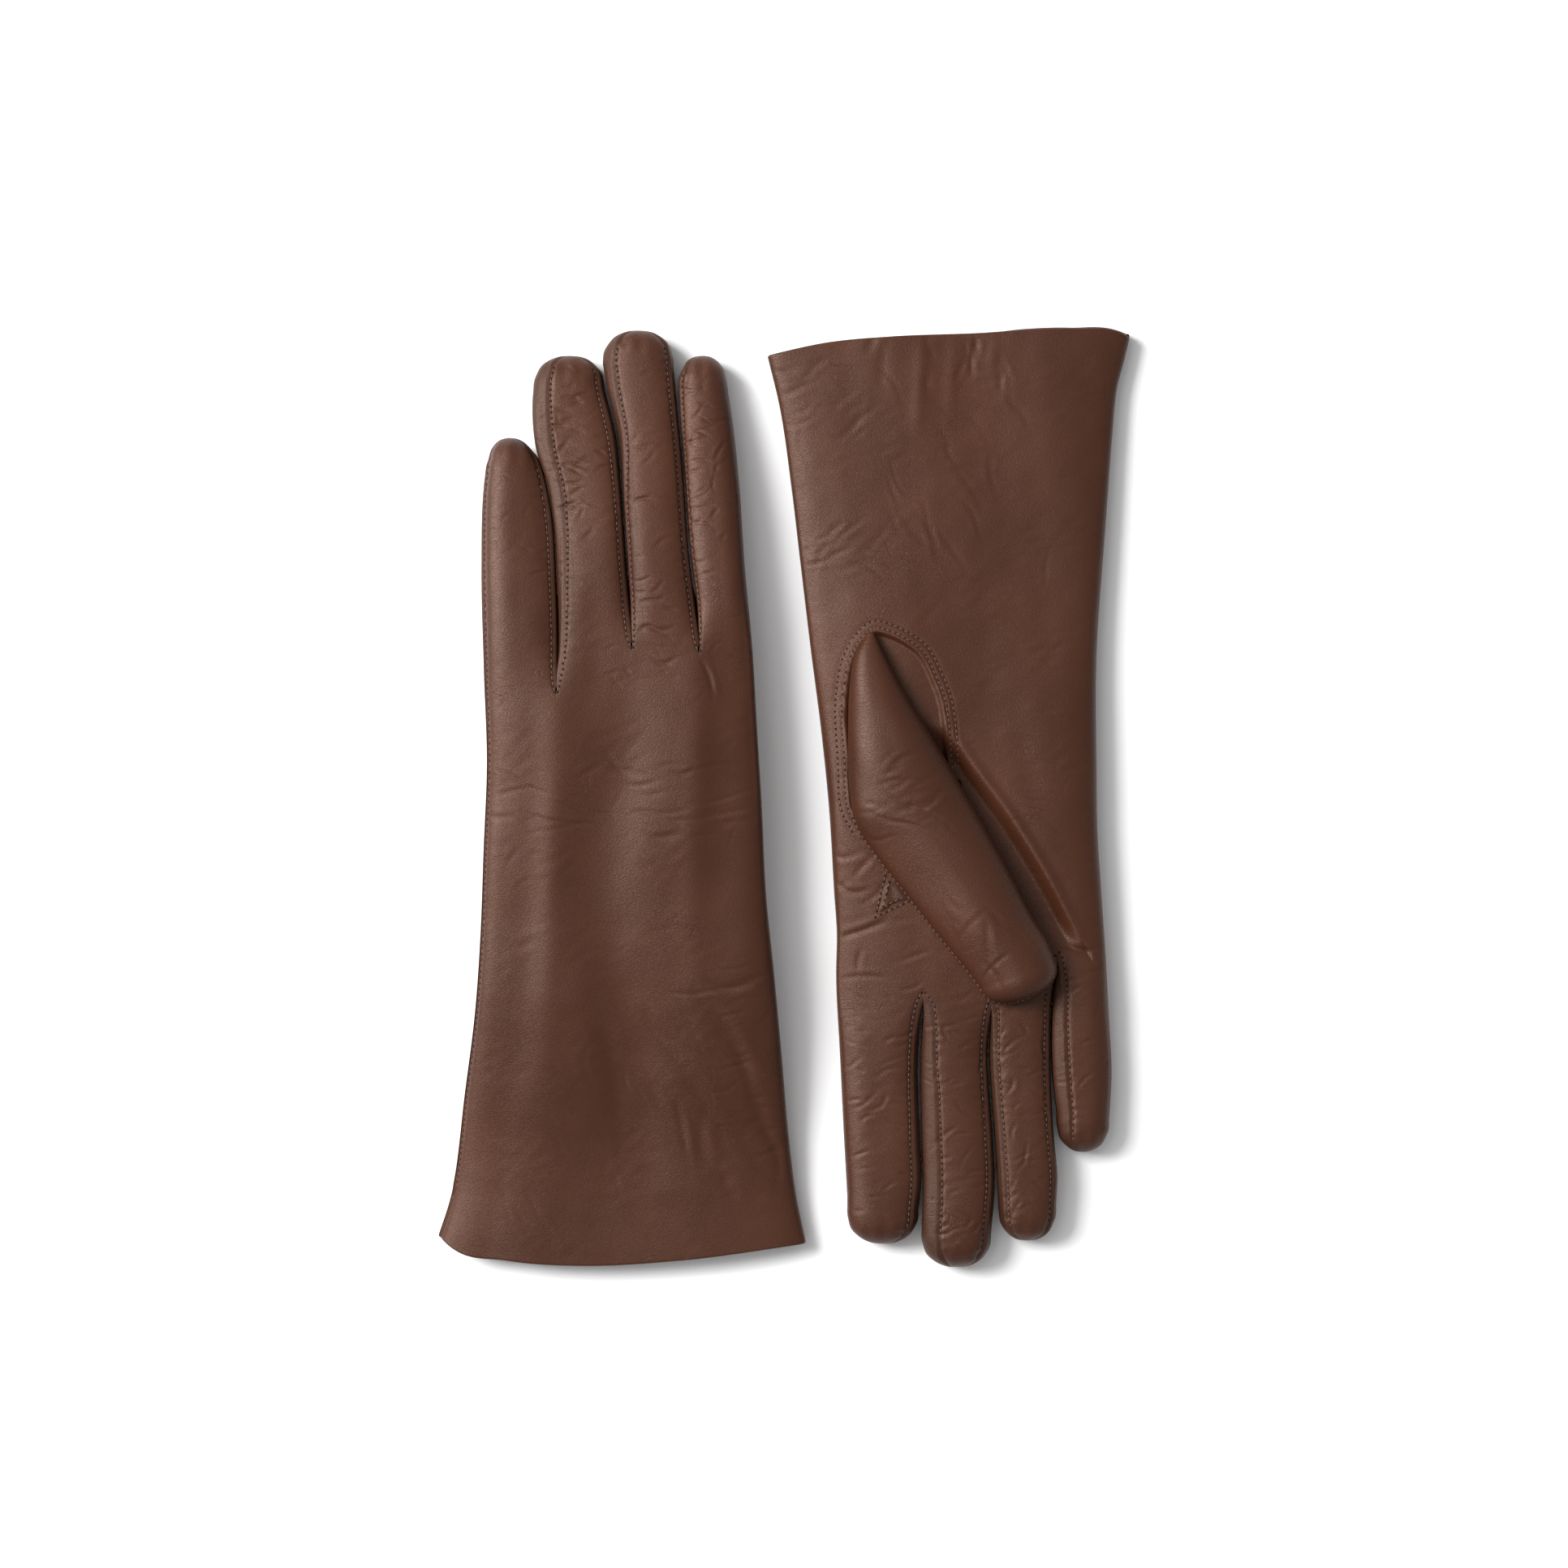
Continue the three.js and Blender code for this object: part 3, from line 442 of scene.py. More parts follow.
def palm_relief(x, y):
    """The palm round the thumb: a welt and two stitched furrows round the opening, a dip beside the thumb."""
    z = np.zeros(np.shape(x))
    near = (x > -50) & (x < 44) & (y > -66) & (y < 60)
    d = -away_from(x[near], y[near], OPENING_PATH)
    w = np.zeros(d.shape)
    for at in (0.0, 2.0):
        w -= 0.22 * np.exp(-(((d - at) / 0.5) ** 2))
    w += 0.35 * np.exp(-(((d - 2.9) / 0.7) ** 2)) + 0.2 * np.exp(-(((d - 1.0) / 0.7) ** 2))
    w -= 1.1 * smooth((d - 3.3) / 0.7) * (d < 60)
    z[near] += w * smooth((14 - y[near]) / 8)
    # between the thumb's fold and the long crease of the palm the skin sinks towards the thumb
    fold = path([(2, -24), (-2.6, -19), (-6, -13.5), (-19.2, 5), (-31, 24), (-41, 43)], 3.0)
    e = -away_from(x[near], y[near], fold)
    ends = smooth((y[near] + 26) / 16), smooth((52 - y[near]) / 16)
    z[near] -= 4.2 * smooth((e - 0.2) / 4.6) * smooth((20 - e) / 9) * ends[0] * ends[1]
    return z


def bow(g, row, x):
    """How far the rim's own curve moves a point of a row along the glove."""
    return (g["rim_at"](x) - MOUTH) * smooth((BOW_START - row) / (BOW_START - MOUTH))


def hand_height(g, row, x, upper):
    """Height of the hand's upper or lower skin, without relief."""
    lo, hi = g["little_at"](row), g["index_at"](row)
    c = np.clip((x - (lo + hi) / 2) / ((hi - lo) / 2), -1, 1)
    base, thick = g["lift_at"](row), g["thick_at"](row)
    widest = base + WIDEST * thick
    if upper:
        return widest + (1 - WIDEST) * thick * oval(c, HAND_ROUND)
    return np.maximum(base, widest - WIDEST * thick * 1.12 * oval(c, HAND_ROUND))


def slit_edge(s, row, side, opens):
    """x of a finger's edge at a slit: one shared line until it opens."""
    left, right = s["left_at"](row), s["right_at"](row)
    middle = (left + right) / 2
    return middle + ((left if side == "left" else right) - middle) * smooth((row - s[opens]) / 5.0)


def section(g, k, rows, upper, shares):
    """The upper or lower half of finger k's tube (and of the hand below it) at some rows."""
    opens = "upper" if upper else "lower"
    rows = np.asarray(rows, float)[:, None]
    name = FINGERS[k]
    tip = g["tips"][name]
    y = np.minimum(rows, tip)
    low = g["little_at"](y) if k == 0 else slit_edge(g["slits"][k - 1], y, "right", opens)
    high = g["index_at"](y) if k == 3 else slit_edge(g["slits"][k], y, "left", opens)
    low_slit = g["slits"][max(k - 1, 0)][opens]
    high_slit = g["slits"][min(k, 2)][opens]
    c = shares[None, :]
    u = np.clip((rows - (tip - TIP_REACH)) / TIP_REACH, 0, 1)
    narrow = np.clip(1 - u**2.4, 0, 1) ** (1 / 2.15)
    flat = np.clip(1 - u**2.6, 0, 1) ** (1 / 1.9)
    x = (low + high) / 2 + (high - low) / 2 * c * narrow
    base, thick = g["lift_at"](rows), g["thick_at"](rows)
    widest = base + WIDEST * thick
    flange = g["flange"] if k == 0 and upper else 0.0
    cc = np.where(c < 0, np.minimum(-c / (1 - flange), 1.0), c)
    if upper:
        # neighbouring fingers press on each other, so their sides meet above the widest line
        apart = smooth((tip - 4 - rows) / 16)
        press = PRESSED * apart * ((k > 0) + (int(k < 3) - int(k > 0)) * (c + 1) / 2)
        own = widest + (1 - WIDEST) * thick * (press + (1 - press) * oval(cc, FINGER_ROUND)) * flat
    else:
        lowest = base + 0.25 * WIDEST * thick * (1 - flat)
        own = np.maximum(lowest, widest - WIDEST * thick * 1.12 * oval(c, FINGER_ROUND) * flat)
    m_low, m_high = (smooth((rows - slit + SLIT_LEAD) / 20) for slit in (low_slit, high_slit))
    m = m_low + (m_high - m_low) * (c + 1) / 2
    hand = hand_height(g, rows, x, upper)
    if flange:
        lo, hi = g["little_at"](rows), g["index_at"](rows)
        inside = np.clip((x - lo) / 0.9 - 1, 0, None) * 0.9
        cut = np.clip((2 * inside / (hi - lo)) - 1, -1, 1)
        seamed = widest + 0.35 + (1 - WIDEST) * thick * oval(cut, HAND_ROUND)
        w = smooth((x - lo - 8.0) / 8.0)
        hand = hand * w + np.minimum(seamed, hand + 0.35) * (1 - w)
        own = own + 0.35 * smooth((-c - 0.6) / 0.3) * flat
    z = hand * (1 - m) + own * m
    yy = np.broadcast_to(rows, x.shape) + bow(g, rows, x)
    # the seams gather the tips a little
    gathered = smooth((rows - tip + 14) / 12)
    yy = yy + 0.4 * gathered * narrow**2 * np.sin(1.25 * x + 1.7 * k) * (1 - np.abs(c) ** 3)
    x = x + 0.15 * gathered * narrow * np.sin(1.1 * rows + 2.3 * k)
    if not upper and g["palm_up"]:
        yy = yy - 0.9 * smooth((-4 - x) / 20) * smooth((-100.0 - rows) / 30)
    if upper:
        edge = np.minimum(np.abs(x - g["little_at"](y)), np.abs(x - g["index_at"](y)))
        side_fade = smooth(edge / 2.5)
        inner = 1 - m * (1 - np.minimum(1, oval(c, FINGER_ROUND) * 1.25) ** 2)
        z = z + relief(g, x, yy) * side_fade * inner * flat
    return np.stack([x, yy, z], -1)


def seam_furrow(g, k, rows, grid, shares):
    """Presses the finger's seams into its upper skin, with small puckers along them."""
    rows = np.asarray(rows, float)
    step = np.linalg.norm(np.diff(grid, axis=1), axis=2)
    run = np.concatenate([np.zeros((len(rows), 1)), np.cumsum(step, axis=1)], axis=1)
    centre = grid[:, [0, -1]].mean(1)[:, None, :]
    inward = centre - grid
    inward /= np.maximum(np.linalg.norm(inward, axis=2, keepdims=True), 1e-6)
    push = np.zeros(run.shape)
    for j, seam in enumerate(g["seams"][FINGERS[k]]):
        if not seam:
            continue
        place = line(seam)(rows)
        at = np.array([np.interp(-p, -shares, r) for p, r in zip(place, run)])
        d = run - at[:, None]
        out = d * (1 if j == 0 else -1)  # positive on the fourchette's side
        on = smooth((rows - seam[0][0] + 1.0) / 2.0)[:, None]
        push += on * 0.5 * np.exp(-((d / 0.5) ** 2))
        push -= on * 0.24 * np.exp(-(((out - 1.1) / 0.6) ** 2))
        beat = np.sin(rows * (2 * math.pi / PITCH) * 0.5 + 2.5 * np.sin(rows * 0.31 + j + k))[:, None]
        strength = 0.5 + 0.5 * np.sin(rows * 0.13 + 2 * j + k)[:, None]
        push += on * 0.15 * beat * strength * np.exp(-((d / 2.6) ** 2)) * (out < 0.3)
    return grid + inward * push[:, :, None]


# ---- Meshes -----------------------------------------------------------------------------------
def place(g, p):
    """From a glove's plan to the row frame, in metres."""
    p = np.asarray(p, float)
    q = p.copy()
    if g["palm_up"]:
        q[..., 0] = RIGHT_AT[0] - p[..., 0]
        q[..., 1] = RIGHT_AT[1] - p[..., 1]
    else:
        q[..., 0] = p[..., 0] + LEFT_AT[0]
        q[..., 1] = p[..., 1] + LEFT_AT[1]
    return q * MM


def grid_faces(rows, columns, closed=False):
    across = np.arange(columns if closed else columns - 1)
    i, j = np.meshgrid(np.arange(rows - 1), across, indexing="ij")
    n = (j + 1) % columns
    here, there = i * columns, (i + 1) * columns
    return np.stack([here + j, there + j, there + n, here + n], -1).reshape(-1, 4)


def add(name, data):
    obj = bpy.data.objects.new(name, data)
    bpy.context.scene.collection.objects.link(obj)
    return obj


def finish_mesh(name, mesh, *materials):
    """Smooth faces, each point's place before it bends, materials, and an object in the scene."""
    mesh.polygons.foreach_set("use_smooth", [True] * len(mesh.polygons))
    co = np.empty(len(mesh.vertices) * 3, np.float32)
    mesh.vertices.foreach_get("co", co)
    mesh.attributes.new("rest", "FLOAT_VECTOR", "POINT").data.foreach_set("vector", co)
    for material in materials:
        mesh.materials.append(material)
    return add(name, mesh)


def stand_in(obj, slot, *nodes):
    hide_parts(*nodes)


def make_mesh(name, points, faces, material):
    used, faces = np.unique(faces, return_inverse=True)
    points, faces = points.reshape(-1, 3)[used], faces.reshape(-1, 4)
    mesh = bpy.data.meshes.new(name)
    mesh.from_pydata(points.tolist(), [], faces.tolist())
    mesh.update()
    bm = bmesh.new()
    bm.from_mesh(mesh)
    bmesh.ops.remove_doubles(bm, verts=bm.verts, dist=2e-6)
    bm.to_mesh(mesh)
    bm.free()
    return finish_mesh(name, mesh, material)


def share_normals(objects):
    """Gives neighbouring pieces of one skin the same normals where they meet."""
    keys, normals, spans = [], [], []
    for o in objects:
        m = o.data
        co = np.empty(len(m.vertices) * 3)
        m.vertices.foreach_get("co", co)
        co = co.reshape(-1, 3)
        total = np.zeros_like(co)
        for p in m.polygons:
            total[list(p.vertices)] += np.array(p.normal) * p.area
        keys.append(np.round(co / 4e-6).astype(np.int64))
        normals.append(total)
        spans.append(len(co))
    key, total = np.concatenate(keys), np.concatenate(normals)
    _, inverse = np.unique(key, axis=0, return_inverse=True)
    inverse = inverse.reshape(-1)
    summed = np.zeros((inverse.max() + 1, 3))
    np.add.at(summed, inverse, total)
    summed /= np.maximum(np.linalg.norm(summed, axis=1, keepdims=True), 1e-12)
    start = 0
    for o, n in zip(objects, spans):
        o.data.normals_split_custom_set_from_vertices(summed[inverse[start : start + n]].tolist())
        start += n


# ---- Materials --------------------------------------------------------------------------------
def node(tree, kind, *inputs, **values):
    """A shader node. Plain values fill its first inputs, named ones its settings or named inputs. A
    socket is linked to the input."""
    n = tree.nodes.new(kind)
    named = {}
    for k, v in values.items():
        if hasattr(n, k):
            setattr(n, k, v)
        else:
            named[k.replace("_", " ")] = v
    for key, v in [*enumerate(inputs), *named.items()]:
        if isinstance(v, bpy.types.NodeSocket):
            tree.links.new(v, n.inputs[key])
        else:
            n.inputs[key].default_value = v
    return n


def new_material(name):
    m = bpy.data.materials.new(name)
    m.use_nodes = True
    t = m.node_tree
    rest = node(t, "ShaderNodeAttribute", attribute_name="rest").outputs["Vector"]
    return m, t, t.nodes["Principled BSDF"].inputs, rest


def mix(t, a, b, share, blend="MIX"):
    n = node(t, "ShaderNodeMix", data_type="RGBA", blend_type=blend, Factor=share, A=a, B=b)
    return n.outputs["Result"]


def leather(name, light, dark, rough):
    """Smooth lamb leather: slanting grain, small pores, soft blotches of colour, fine crackle with painted shade in
    its lines.
    """
    m, t, bsdf, rest = new_material(name)
    link = t.links.new

    def noise(scale, detail, roughness=0.5, vector=rest):
        n = node(t, "ShaderNodeTexNoise", vector, Scale=scale, Detail=detail, Roughness=roughness)
        return n.outputs

    def ramp(value, **ends):
        return node(t, "ShaderNodeMapRange", value, **ends).outputs["Result"]

    def shifted(vector, scale, size):
        moved = noise(scale, 2.0, vector=vector)["Color"]
        n = node(t, "ShaderNodeVectorMath", moved, (size,) * 3, vector, operation="MULTIPLY_ADD")
        return n.outputs["Vector"]

    def turned(vector, degrees, scale):
        angle = (0, 0, math.radians(degrees))
        return node(t, "ShaderNodeMapping", vector, Rotation=angle, Scale=scale).outputs["Vector"]

    def edges(vector, **ends):
        cells = node(t, "ShaderNodeTexVoronoi", vector, feature="DISTANCE_TO_EDGE", Scale=1.0)
        return ramp(cells.outputs["Distance"], interpolation_type="SMOOTHSTEP", **ends)

    def maths(*inputs, operation="MULTIPLY_ADD"):
        return node(t, "ShaderNodeMath", *inputs, operation=operation).outputs["Value"]

    grain = edges(shifted(turned(rest, 24, (1050, 2300, 1400)), 0.55, 1.6), From_Max=0.22)
    pores = noise(2600.0, 3.0, 0.6)["Fac"]
    blotch = noise(26.0, 4.0, 0.55)["Fac"]
    colour = mix(t, (*dark, 1), (*light, 1), ramp(blotch, From_Min=0.3, From_Max=0.7))
    shade = mix(t, colour, (0.62, 0.56, 0.53, 1), maths(grain, -0.34, 0.34), "MULTIPLY")
    link(ramp(blotch, To_Min=rough - 0.06, To_Max=rough + 0.08), bsdf["Roughness"])
    # fine crackle where the skin folds from wear: bumped in, and its lines darkened as painted shade
    stretched = turned(shifted(rest, 190.0, 0.0035), -12, (170, 520, 300))
    crack = edges(stretched, From_Max=0.05, To_Min=1.0, To_Max=0.0)
    where = noise(42.0, 3.0, 0.6)["Fac"]
    patch = ramp(where, interpolation_type="SMOOTHSTEP", From_Min=0.52, From_Max=0.72)
    crackle_and_painted_shade = maths(crack, patch, operation="MULTIPLY")
    # painted shade: the crackle's lines darken the base colour
    link(mix(t, shade, (0.74, 0.7, 0.68, 1), crackle_and_painted_shade, "MULTIPLY"), bsdf["Base Color"])
    deep = node(t, "ShaderNodeBump", invert=True, Strength=0.5, Distance=0.00012, Height=crackle_and_painted_shade)
    bump = node(t, "ShaderNodeBump", Strength=0.45, Distance=0.00007, Height=maths(pores, 0.35, grain),
                Normal=deep.outputs["Normal"])
    link(bump.outputs["Normal"], bsdf["Normal"])
    bsdf["Specular IOR Level"].default_value = 0.42
    bsdf["Specular Tint"].default_value = (1.0, 0.76, 0.65, 1)
    return m


def fabric(name, colour, dark, scale, strength, rough):
    """Thread or fine knit: ribs with a little fuzz."""
    m, t, bsdf, rest = new_material(name)
    rib = node(t, "ShaderNodeTexWave", rest, bands_direction="DIAGONAL" if "thread" in name else "X",
               Scale=scale, Distortion=1.5, Detail=2.0).outputs["Fac"]
    t.links.new(mix(t, (*dark, 1), (*colour, 1), rib), bsdf["Base Color"])
    bump = node(t, "ShaderNodeBump", Strength=strength, Distance=0.0001, Height=rib)
    t.links.new(bump.outputs["Normal"], bsdf["Normal"])
    bsdf["Roughness"].default_value = rough
    return m


SKIN = leather("glove_leather", (0.0535, 0.0158, 0.0064), (0.0395, 0.0108, 0.0042), 0.45)
# darker leather: painted shade in the fourchettes between the fingers; the thumb's gusset is made of it too
SHADED_GUSSET_LEATHER = leather("gusset_leather", (0.042, 0.0130, 0.0056), (0.032, 0.0095, 0.0040), 0.5)
KNIT = fabric("lining_knit", (0.17, 0.105, 0.075), (0.09, 0.055, 0.04), 260.0, 0.6, 0.9)
THREAD = fabric("copper_thread", (0.165, 0.066, 0.034), (0.09, 0.034, 0.018), 900.0, 0.3, 0.6)
# nearly black leather for the beads at the needle holes: painted shade inside the holes
HOLE_SHADE = leather("stitch_hole_shade", (0.012, 0.0055, 0.004), (0.008, 0.0035, 0.0025), 0.8)


# ---- Stitches ---------------------------------------------------------------------------------
def bead(long, wide, rings, sides):
    """A closed spindle along x: points and faces."""
    pts = [(-long / 2, 0, 0)]
    for i in range(1, rings):
        a = math.pi * i / rings
        for j in range(sides):
            b = 2 * math.pi * j / sides
            r = wide * math.sin(a) ** 0.7
            pts.append((-math.cos(a) * long / 2, r * math.cos(b), r * math.sin(b)))
    pts.append((long / 2, 0, 0))
    faces = []
    for j in range(sides):
        n = (j + 1) % sides
        faces.append((0, 1 + n, 1 + j))
        for i in range(rings - 2):
            a = 1 + i * sides
            faces.append((a + j, a + n, a + sides + n, a + sides + j))
        faces.append((1 + (rings - 2) * sides + j, 1 + (rings - 2) * sides + n, len(pts) - 1))
    return np.array(pts), faces


THREAD_BEAD = bead(1.25, 0.17, 5, 6)
HOLE_BEAD = bead(0.9, 0.40, 4, 6)


def stitches(g, name, points, normals, sink=0.05, hole=1.0):
    """Threads between needle holes, along points of a skin that are one pitch apart; each hole is a dark bead of
    painted shade.
    """
    p, n = np.asarray(points), np.asarray(normals)
    verts, faces, slots = [], [], []
    count = 0
    d = np.gradient(p, axis=0)
    d /= np.maximum(np.linalg.norm(d, axis=1, keepdims=True), 1e-9)
    for i in range(len(p) - 1):
        for (shape, shape_faces), centre, lift, slot in (
            (THREAD_BEAD, (p[i] + p[i + 1]) / 2, sink, 0),
            # the hole's bead, painted shade
            (HOLE_BEAD, p[i], -0.02, 1),
        ):
            x = d[i]
            z = n[i] - x * (n[i] @ x)
            z /= max(np.linalg.norm(z), 1e-9)
            y = np.cross(z, x)
            wide, flat = (1.0, 1.0) if slot == 0 else (hole, 0.5 * hole)
            verts.append(centre + z * lift + shape[:, :1] * x + shape[:, 1:2] * y * wide + shape[:, 2:3] * z * flat)
            faces += [tuple(v + count for v in f) for f in shape_faces]
            slots += [slot] * len(shape_faces)
            count += len(shape)
    mesh = bpy.data.meshes.new(name)
    mesh.from_pydata(place(g, np.concatenate(verts)).tolist(), [], faces)
    obj = finish_mesh(name, mesh, THREAD, HOLE_SHADE)
    mesh.polygons.foreach_set("material_index", slots)
    mesh.update()
    return obj


def read_grid(grid, rows, shares, at_rows, at_shares):
    """Points and outward normals of a grid between its corners."""
    i = np.clip(np.interp(at_rows, rows, np.arange(len(rows))), 0, len(rows) - 1.001)
    j = np.clip(np.interp(-np.asarray(at_shares), -shares, np.arange(len(shares))), 0, len(shares) - 1.001)
    i0, j0 = i.astype(int), j.astype(int)
    u, v = (i - i0)[:, None], (j - j0)[:, None]
    a, b, c, d = grid[i0, j0], grid[i0 + 1, j0], grid[i0, j0 + 1], grid[i0 + 1, j0 + 1]
    p = a * (1 - u) * (1 - v) + b * u * (1 - v) + c * (1 - u) * v + d * u * v
    n = np.cross(b - a + d - c, c - a + d - b)
    n /= np.maximum(np.linalg.norm(n, axis=1, keepdims=True), 1e-9)
    return p, n


def pitch_rows(grid, rows, shares, seam):
    """Rows and shares along a seam, one stitch apart."""
    fine = np.linspace(max(seam[0][0], rows[0]), min(seam[-1][0], rows[-1]), 1600)
    place_at = line(seam)(fine)
    p, _ = read_grid(grid, rows, shares, fine, place_at)
    run = np.concatenate([[0], np.cumsum(np.linalg.norm(np.diff(p, axis=0), axis=1))])
    n = int(run[-1] / PITCH)
    even = np.interp(np.arange(n + 1) * PITCH, run, fine)
    return even, line(seam)(even)


# ---- Skins ------------------------------------------------------------------------------------
def blend_points(g, kind, finger=None):
    """Where a skin starts and ends to bend across a joint, in the row frame."""
    if kind == "wrist":
        a, b = (0, WRIST - 12, 5), (0, WRIST + 12, 5)
    elif kind == "thumb":
        a = (THUMB_BASE[0] - 7 * THUMB_AXIS[0], THUMB_BASE[1] - 7 * THUMB_AXIS[1], 5)
        b = (THUMB_BASE[0] + 9 * THUMB_AXIS[0], THUMB_BASE[1] + 9 * THUMB_AXIS[1], 5)
    else:
        knuckle = LITTLE_KNUCKLE if finger == "little" else KNUCKLE
        a, b = (0, knuckle - 3, 5), (0, knuckle + 12, 5)
    return [tuple(place(g, np.array(p, float))) for p in (a, b)]


def bend(g, obj, kind, finger=None):
    start, end = blend_points(g, kind, finger)
    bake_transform(obj)
    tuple(start)
    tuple(end)


def skins(g, rows, upper, shares, fingers=(3, 2, 1, 0)):
    """The upper or lower skin across some fingers, in the order in which a ring runs."""
    if upper:
        return np.concatenate([section(g, k, rows, True, shares) for k in fingers], axis=1)
    return np.concatenate([section(g, k, rows, False, shares)[:, ::-1] for k in fingers[::-1]], axis=1)


def shrink(g, grid, rows, inset):
    """A grid of the hand's section moved inwards."""
    rows = np.asarray(rows, float)[:, None]
    lo, hi = g["little_at"](rows), g["index_at"](rows)
    xm, half = (lo + hi) / 2, (hi - lo) / 2
    base, thick = g["lift_at"](rows), g["thick_at"](rows)
    widest = base + WIDEST * thick
    inset = np.asarray(inset, float).reshape(-1, 1)
    out = grid.copy()
    out[..., 0] = xm + (grid[..., 0] - xm) * (half - inset) / half
    out[..., 2] = widest + (grid[..., 2] - widest) * (thick * 0.5 - inset) / (thick * 0.5)
    return out


def make_hand(g):
    side = g["name"]
    rows = np.concatenate([np.arange(MOUTH, SPLIT - 0.3, 0.64), [SPLIT]])
    last = seam_furrow(g, 0, rows, section(g, 0, rows, True, UPPER), UPPER)
    upper = np.concatenate([skins(g, rows, True, UPPER, (3, 2, 1)), last], axis=1)
    ring = np.concatenate([upper, skins(g, rows, False, LOWER)], axis=1)
    columns = ring.shape[1]
    faces = grid_faces(len(rows), columns, True)
    skin = make_mesh(f"{side}_hand_and_cuff_leather", place(g, ring), faces, SKIN)
    nodes = [f"{side}_{n}" for n in ("cuff_back", "cuff_palm", "hand_back", "hand_palm")]
    stand_in(skin, "leather", *nodes)

    # the rim rolls over into the hem
    turn = np.linspace(0, math.pi, 9)
    inset = np.concatenate([0.6 * (1 - np.cos(turn)), np.full(6, 1.2)])
    shift = np.concatenate([-0.7 * np.sin(turn), np.linspace(1.5, HEM_DEPTH, 6)])
    first = np.repeat(ring[:1], len(inset), axis=0)
    deeper = np.interp(shift, [0, HEM_DEPTH], [0, 1])
    further = ring[np.searchsorted(rows, MOUTH + HEM_DEPTH)]
    for i, w in enumerate(deeper):
        first[i] = ring[0] * (1 - w) + further * w
    hem = shrink(g, first, MOUTH + np.maximum(shift, 0), inset)
    hem[..., 1] += np.minimum(shift, 0)[:, None]
    faces = grid_faces(len(inset), columns, True)[:, ::-1]
    hem_obj = make_mesh(f"{side}_cuff_hem", place(g, hem), faces, SKIN)
    stand_in(hem_obj, "leather", f"{side}_cuff_hem")
    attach(hem_obj, f"{side}_cuff")

    # the lining hangs inside, from under the hem to the fingers
    inner_rows = np.arange(MOUTH + 10.5, SPLIT + 8, 3.0)
    picked, under = (skins(g, inner_rows, up, (UPPER if up else LOWER)[::4]) for up in (True, False))
    lining = shrink(g, np.concatenate([picked, under], axis=1), inner_rows, np.full(len(inner_rows), 1.5))
    lining[..., 2] = np.minimum(lining[..., 2], g["lift_at"](inner_rows)[:, None] + 7.4)
    faces = grid_faces(len(inner_rows), lining.shape[1], True)[:, ::-1]
    lining_obj = make_mesh(f"{side}_hand_lining", place(g, lining), faces, KNIT)
    stand_in(lining_obj, "lining", f"{side}_cuff_lining", f"{side}_hand_lining")
    bend(g, lining_obj, "wrist")
    return skin, rows, upper


def finger_rows(g, name):
    tip = g["tips"][name]
    straight = np.arange(SPLIT, tip - TIP_REACH, 0.5)
    u = np.sin(np.linspace(0, math.pi / 2, 22))
    return np.concatenate([straight, tip - TIP_REACH + TIP_REACH * u])


